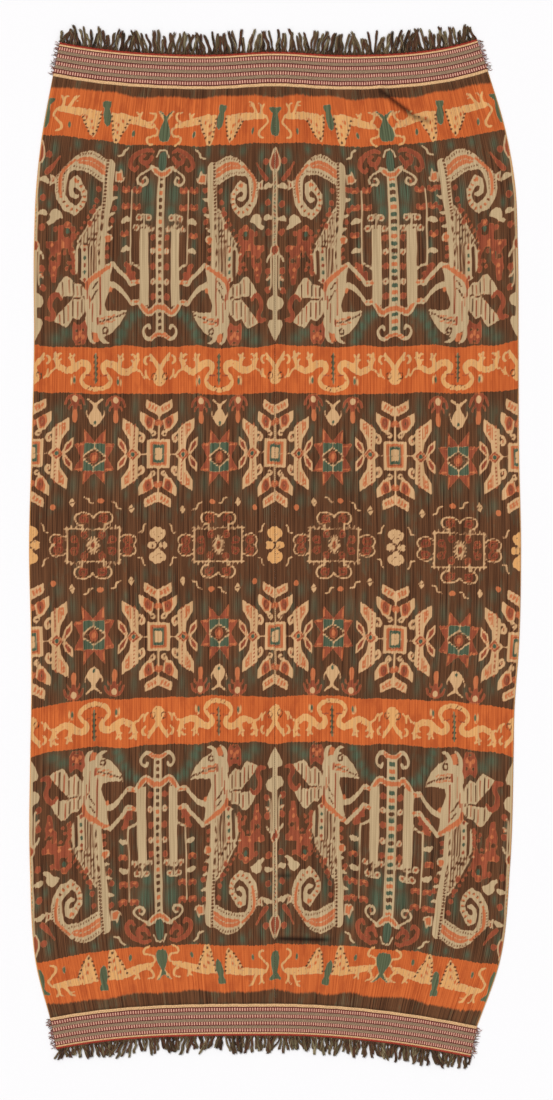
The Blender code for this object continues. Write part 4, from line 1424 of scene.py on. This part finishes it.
def bundle_slip(shape, seed):
    """How far each tied bundle slipped along the warp, in ties: a number for each column that changes
    slowly along it, so that the edges across the warp come out stepped."""
    rows, columns = shape
    knots = np.random.default_rng(seed).normal(0, BUNDLE_SLIP, (SLIP_SPANS + 1, columns))
    place = np.linspace(0, SLIP_SPANS, rows)
    i = np.minimum(place.astype(int), SLIP_SPANS - 1)
    t = (place - i)[:, None]
    return knots[i] * (1 - t) + knots[i + 1] * t


# How far the right panel's motifs hang at these shares of its width, in ties
SLUMP_SHARES = (0.0, 0.25, 0.5, 0.75, 1.0)
SLUMP_MIDDLE = (0.0, 0.0, 3.0, 5.5, 6.0)
SLUMP_LOWER = (-3.0, -3.5, 1.0, 5.5, 6.0)


def slump(share, along):
    """How far the right panel's motifs hang below their row, in ties: in the middle and the lower
    field they drift down toward the selvedge, and at the orange bands they are back in line."""
    in_middle = np.clip(1 - (along / 151) ** 4, 0, 1)
    in_lower = np.clip(1 - ((along + 298) / 100) ** 4, 0, 1)
    middle = np.interp(np.abs(share), SLUMP_SHARES, SLUMP_MIDDLE)
    lower = np.interp(np.abs(share), SLUMP_SHARES, SLUMP_LOWER)
    return middle * in_middle + lower * in_lower


PANEL_WIDTH = 0.6
SELVEDGE_TIES = 0.8
SWELL = 0.0005
SWELL_EDGE = 0.02
# How far the motifs stray from a true drawing, across and along, in ties
STRAY_ACROSS = 0.9
STRAY_ALONG = 1.3


def make_panel(name, side, axis_share, trunk_size, seed, material):
    """One loom panel: a thin closed sheet that carries its dye chart. side is -1 for the left panel and
    1 for the right one. The chart takes distances from the axis and from the mid line, so it is the
    same on both sides of each. It is stretched smoothly across, so that its edges fall on the seam and
    on the selvedge."""
    near = GAP / 2 / max(row.left for row in SECTIONS)
    share, station = np.meshgrid(side * np.linspace(near, 1, CELLS_ACROSS + 1), station_lines())
    x, y = lay(share, station)
    x = np.where(np.abs(share) <= near, side * GAP / 2, x)
    low = relief(x, y, share, station)
    edge = np.clip((1 - np.abs(share)) / SWELL_EDGE, 0, 1)
    swell = SWELL * (1 + wander(x * 0.7, y * 0.6, seed + 7)) * edge
    top = np.stack([x, y, low + PANEL_THICKNESS + swell], axis=-1)
    under = np.stack([x, y, low], axis=-1)
    piece, fine_count = closed_sheet(name, top, under, COARSE, material)

    across = (axis_share - np.abs(share)) * PANEL_TIES
    seamward = np.clip(across, 0, None) / (axis_share * PANEL_TIES)
    reach = (1 - axis_share) * PANEL_TIES
    stretched = np.where(
        across > 0,
        across + (EDGE - axis_share * PANEL_TIES) * seamward**1.6,
        -across * (1 + (EDGE / reach - 1) * np.clip(-across / reach, 0, 1)),
    )
    along = (station - CHART_MIDDLE) / TIE
    if side > 0:
        along = along + slump(share, along)
    stray = STRAY_ACROSS * wander(x, y, seed) * np.clip(np.abs(stretched) / 10, 0, 1)
    strayed = np.abs(along) + STRAY_ALONG * wander(y, x, seed + 3) + bundle_slip(x.shape, int(seed))
    chart = draw_panel_chart(np.abs(stretched) + stray, strayed, trunk_size)
    selvedge = (np.abs(share) - 1) * PANEL_TIES + SELVEDGE_TIES
    chart.fields["gold"] = np.maximum(chart.fields["gold"], selvedge.reshape(chart.fields["gold"].shape))
    for field, values in chart.fields.items():
        keep(piece.data, field, both(values.reshape(x.shape), COARSE))
    # Painted shade along the folds' creases, kept for each point
    keep(piece.data, "soil", both(soil(x, y), COARSE))

    weave = np.stack([both(share * PANEL_WIDTH, COARSE), both(station, COARSE)], axis=1)
    set_uv(piece.data, "weave", weave[corner_points(piece.data)])
    rows, columns = x.shape
    across = np.broadcast_to(np.linspace(0, 1, columns), x.shape)
    along = np.broadcast_to(np.linspace(0, 1, rows)[:, None], x.shape)
    bake_map(piece, fine_count, across, along, COARSE)
    return piece


def end_frame(share, end):
    """Points, outward normals and tangents of the line where a band meets the panels."""
    nudge = 1e-3
    share = np.asarray(share, float)
    x, y = lay(share, end)
    x1, y1 = lay(np.clip(share + nudge, -1, 1), end)
    x0, y0 = lay(np.clip(share - nudge, -1, 1), end)
    tangent = np.stack([x1 - x0, y1 - y0], axis=-1)
    tangent /= np.linalg.norm(tangent, axis=-1, keepdims=True)
    outward = 1.0 if end > 0 else -1.0
    normal = outward * np.stack([-tangent[..., 1], tangent[..., 0]], axis=-1)
    return np.stack([x, y], axis=-1), normal, tangent


BAND_LENGTH = 1.06
BAND_CELLS = (540, 45)
BAND_COARSE = 3
ROW_RIDGE = 0.00045


def make_band(name, end, height, material):
    """A twined band: a strip of constant height across the ends of both panels, ridged by its rows."""
    columns, rows = BAND_CELLS
    share = np.linspace(-1, 1, columns + 1)
    across = np.linspace(0, 1, rows + 1)
    points, normal, _ = end_frame(share, end)
    away = GAP + across * (height - GAP)
    plan = points[None] + away[:, None, None] * normal[None]
    station = np.full(share.shape, end)
    lift = relief(points[:, 0], points[:, 1], share, station)
    low = lift[None] * (np.clip(1 - away / height, 0, 1)[:, None] ** 1.5)
    ridges = ROW_RIDGE * np.sin(across * 2 * math.pi * 2 / DASH_PERIOD)[:, None]
    high = low + BAND_THICKNESS - ROW_RIDGE + ridges
    top = np.concatenate([plan, high[..., None]], axis=-1)
    under = np.concatenate([plan, low[..., None]], axis=-1)
    if end < 0:
        top, under = top[:, ::-1], under[:, ::-1]
    piece, _ = closed_sheet(name, top, under, BAND_COARSE, material)
    length = BAND_LENGTH * share * 0.5
    if end < 0:
        length = length[::-1]
    grid = np.broadcast_to(length, low.shape), np.broadcast_to(across[:, None], low.shape)
    weave = np.stack([both(part, BAND_COARSE) for part in grid], axis=1)
    set_uv(piece.data, "weave", weave[corner_points(piece.data)])
    return piece


def yarn_tubes(name, paths, radii, tones, sides, material):
    """Yarns as one mesh: a ring of points round each path point, at its radius and square to the path,
    and a flat cap at both ends. paths is yarns by points by three, radii and tones yarns by points."""
    count, steps = paths.shape[:2]
    tangent = np.gradient(paths, axis=1)
    tangent /= np.linalg.norm(tangent, axis=2, keepdims=True) + 1e-12
    side = np.cross(tangent, (0.0, 0.0, 1.0))
    side /= np.linalg.norm(side, axis=2, keepdims=True) + 1e-12
    up = np.cross(side, tangent)
    angle = np.arange(sides) * 2 * math.pi / sides
    ring = np.cos(angle)[:, None] * side[:, :, None] + np.sin(angle)[:, None] * up[:, :, None]
    points = paths[:, :, None] + radii[:, :, None, None] * ring
    first = np.arange(count)[:, None, None] * steps * sides
    i = np.arange(steps - 1)[None, :, None] * sides
    j = np.arange(sides)[None, None, :]
    following = (j + 1) % sides
    here = first + i
    following_ring = here + sides
    quads = (here + j, following_ring + j, following_ring + following, here + following)
    quads = np.stack(np.broadcast_arrays(*quads), axis=-1)
    start_caps = np.broadcast_to(first + j, (count, 1, sides)).reshape(count, sides)
    end_caps = (start_caps + (steps - 1) * sides)[:, ::-1]
    faces = quads.reshape(-1, 4).tolist() + start_caps.tolist() + end_caps.tolist()
    piece = make_mesh(name, points.reshape(-1, 3), faces, material)
    keep(piece.data, "tone", np.repeat(tones.ravel(), sides))
    return piece


# The fringe: its locks, the yarns in one, and their thinnest and thickest as shares of the radius
LOCKS = 150
YARNS_IN_LOCK = 16
YARN_RADIUS = 0.00082
YARN_THINNEST = 0.75
YARN_THICKEST = 1.2
YARN_STEPS = 10
ROOT_SPREAD = 0.0046
FLOOR_CLEARANCE = 0.0001
# What is drawn for each lock: its place and length as shares, its bends, thickness and turns
LOCK_JITTER = 0.30
LOCK_REACH = (0.70, 1.16)
LOCK_LEAN = 0.13
LOCK_SWAY = 0.0014
LOCK_CURL = 0.0008
LOCK_RADIUS = (0.0020, 0.0034)
LOCK_TURNS = (0.5, 1.1)
LOCK_SHADE = (0.14, 0.74)
# What is drawn for each yarn: how much shorter it is, how far it strays, and its own shade
YARN_SHORTER = 0.14
YARN_STRAY = 0.0009
YARN_SHADE = 0.19


def make_fringe(name, end, height, length, seed, material):
    """The cut warp ends: twisted locks that swirl, split and curl, with loose yarns between them."""
    draw = np.random.default_rng(seed)
    share = (np.arange(LOCKS) + 0.5 + draw.uniform(-LOCK_JITTER, LOCK_JITTER, LOCKS)) / LOCKS * 2 - 1
    t = np.linspace(0, 1, YARN_STEPS)
    reach = length * draw.uniform(*LOCK_REACH, LOCKS) * (1 - 0.42 * np.abs(share) ** 8)
    swirl = np.sin(share * 19 + seed) + np.sin(share * 43 + 2 * seed)
    lean = (0.10 * share + 0.16 * swirl + draw.normal(0, LOCK_LEAN, LOCKS)) * reach
    sway = draw.normal(0, LOCK_SWAY, LOCKS)
    curl = draw.normal(0, LOCK_CURL, LOCKS)
    point, normal, tangent = end_frame(share, end)
    root = point + (height + GAP) * normal
    swaying = sway[:, None] * np.sin(t * math.pi * 1.6)
    curling = curl[:, None] * np.sin(t * math.pi * 3.1)
    drift = lean[:, None] * t**1.4 + swaying + curling
    yarn = (np.arange(YARNS_IN_LOCK) + 0.5) / YARNS_IN_LOCK
    turn = draw.uniform(*LOCK_TURNS, (LOCKS, 1, 1)) * draw.choice([-1, 1], (LOCKS, 1, 1))
    angle = (yarn * 2 * math.pi)[None, :, None] + turn * 2 * math.pi * t
    angle = angle + draw.uniform(0, 6.28, (LOCKS, 1, 1))
    bundle = draw.uniform(*LOCK_RADIUS, (LOCKS, 1, 1)) * (1 - 0.25 * t**2)
    gather = np.exp(-((t / 0.22) ** 1.5))
    loose = draw.normal(0, YARN_STRAY, (LOCKS, YARNS_IN_LOCK, 1)) * t**2
    short = 1 - draw.uniform(0, YARN_SHORTER, (LOCKS, YARNS_IN_LOCK, 1)) ** 1.2
    from_root = ROOT_SPREAD * (2 * yarn - 1)[None, :, None] * gather
    across = drift[:, None, :] * short + from_root + bundle * np.cos(angle) * (1 - gather) + loose
    out = (t[None] * reach[:, None])[:, None, :] * short
    plan = root[:, None, None] + out[..., None] * normal[:, None, None]
    plan = plan + across[..., None] * tangent[:, None, None]
    z = YARN_THICKEST * YARN_RADIUS + FLOOR_CLEARANCE + (np.sin(angle) + 1) * bundle * 0.6
    paths = np.concatenate([plan, z[..., None]], axis=-1).reshape(-1, YARN_STEPS, 3)
    radii = YARN_RADIUS * draw.uniform(YARN_THINNEST, YARN_THICKEST, (len(paths), 1))
    radii = radii * np.clip((1.04 - t) / 0.12, 0.3, 1)
    shade = draw.uniform(*LOCK_SHADE, (LOCKS, 1, 1))
    shade = shade + draw.normal(0, YARN_SHADE, (LOCKS, YARNS_IN_LOCK, 1))
    tones = np.clip(shade + 0.12 * (t - 0.5), 0, 1).reshape(-1, YARN_STEPS)
    return yarn_tubes(name, paths, np.maximum(radii, 0.0002), tones, 4, material)


FRAY_YARNS = 46
FRAY_LENGTH = 0.012
FRAY_RADIUS = 0.00055
FRAY_EDGE = 0.003
FRAY_OVERLAP = 0.002


def make_fray(name, end, height, side, seed, material):
    """The loose ends of a band's yarns at one corner."""
    draw = np.random.default_rng(seed)
    point, normal, tangent = end_frame(float(side), end)
    out = side * tangent
    t = np.linspace(0, 1, YARN_STEPS)
    level = np.linspace(FRAY_EDGE, height - FRAY_EDGE, FRAY_YARNS)
    level = level + draw.uniform(-0.001, 0.001, FRAY_YARNS)
    reach = FRAY_LENGTH * draw.uniform(0.35, 1.35, FRAY_YARNS)
    bend = draw.normal(0, 0.0035, FRAY_YARNS)
    curl = draw.normal(0, 0.0012, FRAY_YARNS)
    along = level[:, None] + bend[:, None] * t**2 + curl[:, None] * np.sin(t * 7)
    away = GAP - FRAY_OVERLAP + reach[:, None] * t
    plan = point + along[..., None] * normal + away[..., None] * out
    z = 0.0008 + 0.0009 * np.abs(np.sin(np.arange(FRAY_YARNS) * 2.4))[:, None] * (1 - 0.4 * t)
    paths = np.concatenate([plan, z[..., None]], axis=-1)
    radii = np.full((FRAY_YARNS, YARN_STEPS), FRAY_RADIUS) * np.clip((1.05 - t) / 0.2, 0.3, 1)
    tones = np.repeat(draw.uniform(0, 1, (FRAY_YARNS, 1)), YARN_STEPS, axis=1)
    return yarn_tubes(name, paths, radii, tones, 5, material)


STITCH_PITCH = 0.0048
STITCH_HALF = 0.0012
STITCH_RADIUS = 0.00028
STITCH_POINTS = 5
SEAM_MARGIN = 0.003


def make_seam(name, material):
    """The centre seam's small oversewn stitches, one short dark thread for each."""
    stations = np.arange(BOTTOM_END + SEAM_MARGIN, TOP_END - SEAM_MARGIN, STITCH_PITCH)
    draw = np.random.default_rng(41)
    t = np.linspace(-1, 1, STITCH_POINTS)
    _, y = lay(np.zeros_like(stations), stations)
    half = STITCH_HALF * draw.uniform(0.7, 1.2, len(stations))
    px = half[:, None] * t
    py = y[:, None] + STITCH_HALF * t + draw.uniform(-0.0004, 0.0004, len(stations))[:, None]
    base = relief(px, py, np.zeros_like(px) + 0.002, stations[:, None] + 0 * px)
    pz = base + PANEL_THICKNESS + 0.00055 + 0.0003 * (1 - t**2) - 0.0004 * t**4
    paths = np.stack([px, py, pz], axis=-1)
    radii = np.full(px.shape, STITCH_RADIUS)
    tones = np.repeat(draw.uniform(0, 1, (len(stations), 1)), STITCH_POINTS, axis=1)
    return yarn_tubes(name, paths, radii, tones, 4, material)


# The pieces, each standing for its node
ikat = ikat_material()
twined = band_material()
# Grey, brown and rust ends of warp, bleached by wear
WARP_END_TONES = ("#2c2116", "#453624", "#5f3627", "#584b33", "#72654a", "#a09272")
# The maroon, pink and tan of the band's own yarns
BAND_END_TONES = ("#4c2422", "#7c3a34", "#9a5a48", "#4b4030", "#8c7458")
# Brown thread, close to the selvedges' colour
SEAM_TONES = ("#4a3022", "#7a5a40")
warp_ends = yarn_material("cut_warp_ends_cotton", WARP_END_TONES)
band_ends = yarn_material("loose_band_yarn_cotton", BAND_END_TONES)
seam_thread = yarn_material("seam_sewing_thread_cotton", SEAM_TONES)

RIGHT_TRUNK_SIZE = 1.38
panels = [
    make_panel("panel_left_cloth", -1, AXIS_SHARE, 1.0, 1.0, ikat),
    make_panel("panel_right_cloth", 1, RIGHT_AXIS_SHARE, RIGHT_TRUNK_SIZE, 4.0, ikat),
]
bands = [
    make_band("band_top_twining", TOP_END, TOP_BAND_HEIGHT, twined),
    make_band("band_bottom_twining", BOTTOM_END, BOTTOM_BAND_HEIGHT, twined),
]
fringes = [
    make_fringe("fringe_top_yarns", TOP_END, TOP_BAND_HEIGHT, TOP_FRINGE_LENGTH, 3, warp_ends),
    make_fringe("fringe_bottom_yarns", BOTTOM_END, BOTTOM_BAND_HEIGHT, BOTTOM_FRINGE_LENGTH, 5, warp_ends),
]
corners = (
    ("top_left", TOP_END, TOP_BAND_HEIGHT, -1), ("top_right", TOP_END, TOP_BAND_HEIGHT, 1),
    ("bottom_left", BOTTOM_END, BOTTOM_BAND_HEIGHT, -1), (
        "bottom_right", BOTTOM_END, BOTTOM_BAND_HEIGHT, 1,
    ),
)
frays = [
    make_fray(f"fray_{corner}_yarns", end, height, side, 20 + i, band_ends)
    for i, (corner, end, height, side) in enumerate(corners)
]
seam = make_seam("seam_stitches", seam_thread)

slots = (
    (panels, "warp_ikat_cotton"), (bands, "twined_band_cotton"), (fringes, "cut_warp_ends"),
    (frays, "band_yarn_ends"), ([seam], "warp_ikat_cotton"),
)
for group, slot in slots:
    for piece in group:
        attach(piece, "root")
for piece in panels + bands + fringes + frays:
    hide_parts(piece.name.rsplit("_", 1)[0])


# Floor, light and camera
def make_floor():
    """A plain pale floor."""
    material = bpy.data.materials.new("matt_white_floor_paint")
    material.use_nodes = True
    shader = material.node_tree.nodes["Principled BSDF"]
    shader.inputs["Base Color"].default_value = linear("#f1f0f1")
    shader.inputs["Roughness"].default_value = 0.9
    corners = [(-6, -6, -GAP), (6, -6, -GAP), (6, 6, -GAP), (-6, 6, -GAP)]
    floor = make_mesh("floor", corners, [(0, 1, 2, 3)], material, smooth_shading=False)


def make_light():
    """Even studio light from all round, and a large soft lamp beyond the cloth's upper left."""
    world = bpy.data.worlds.new("even_light")
    bpy.context.scene.world = world
    world.use_nodes = True
    background = world.node_tree.nodes["Background"]
    background.inputs["Color"].default_value = (1.0, 1.0, 1.0, 1.0)
    background.inputs["Strength"].default_value = 0.72
    lamp = bpy.data.lights.new("soft_lamp", "SUN")
    lamp.energy = 1.75
    lamp.angle = math.radians(14)
    stand = bpy.data.objects.new("soft_lamp", lamp)
    stand.rotation_euler = (math.radians(-34), math.radians(-30), 0)
    bpy.context.scene.collection.objects.link(stand)


def make_camera():
    """Straight above, with the photograph's frame at its own scale. The sensor's width is the long side."""
    distance = 6.0
    lens = bpy.data.cameras.new("camera")
    lens.sensor_width = 36.0
    lens.lens = lens.sensor_width * distance / (PHOTO_HEIGHT * TIE)
    camera = bpy.data.objects.new("camera", lens)
    across = (PHOTO_WIDTH / 2 - PHOTO_SEAM) * TIE
    along = (PHOTO_MIDDLE - PHOTO_HEIGHT / 2) * TIE
    camera.location = (across, along, distance)
    bpy.context.scene.collection.objects.link(camera)
    bpy.context.scene.camera = camera


make_floor()
make_light()
make_camera()
bpy.context.scene.view_settings.view_transform = "Standard"
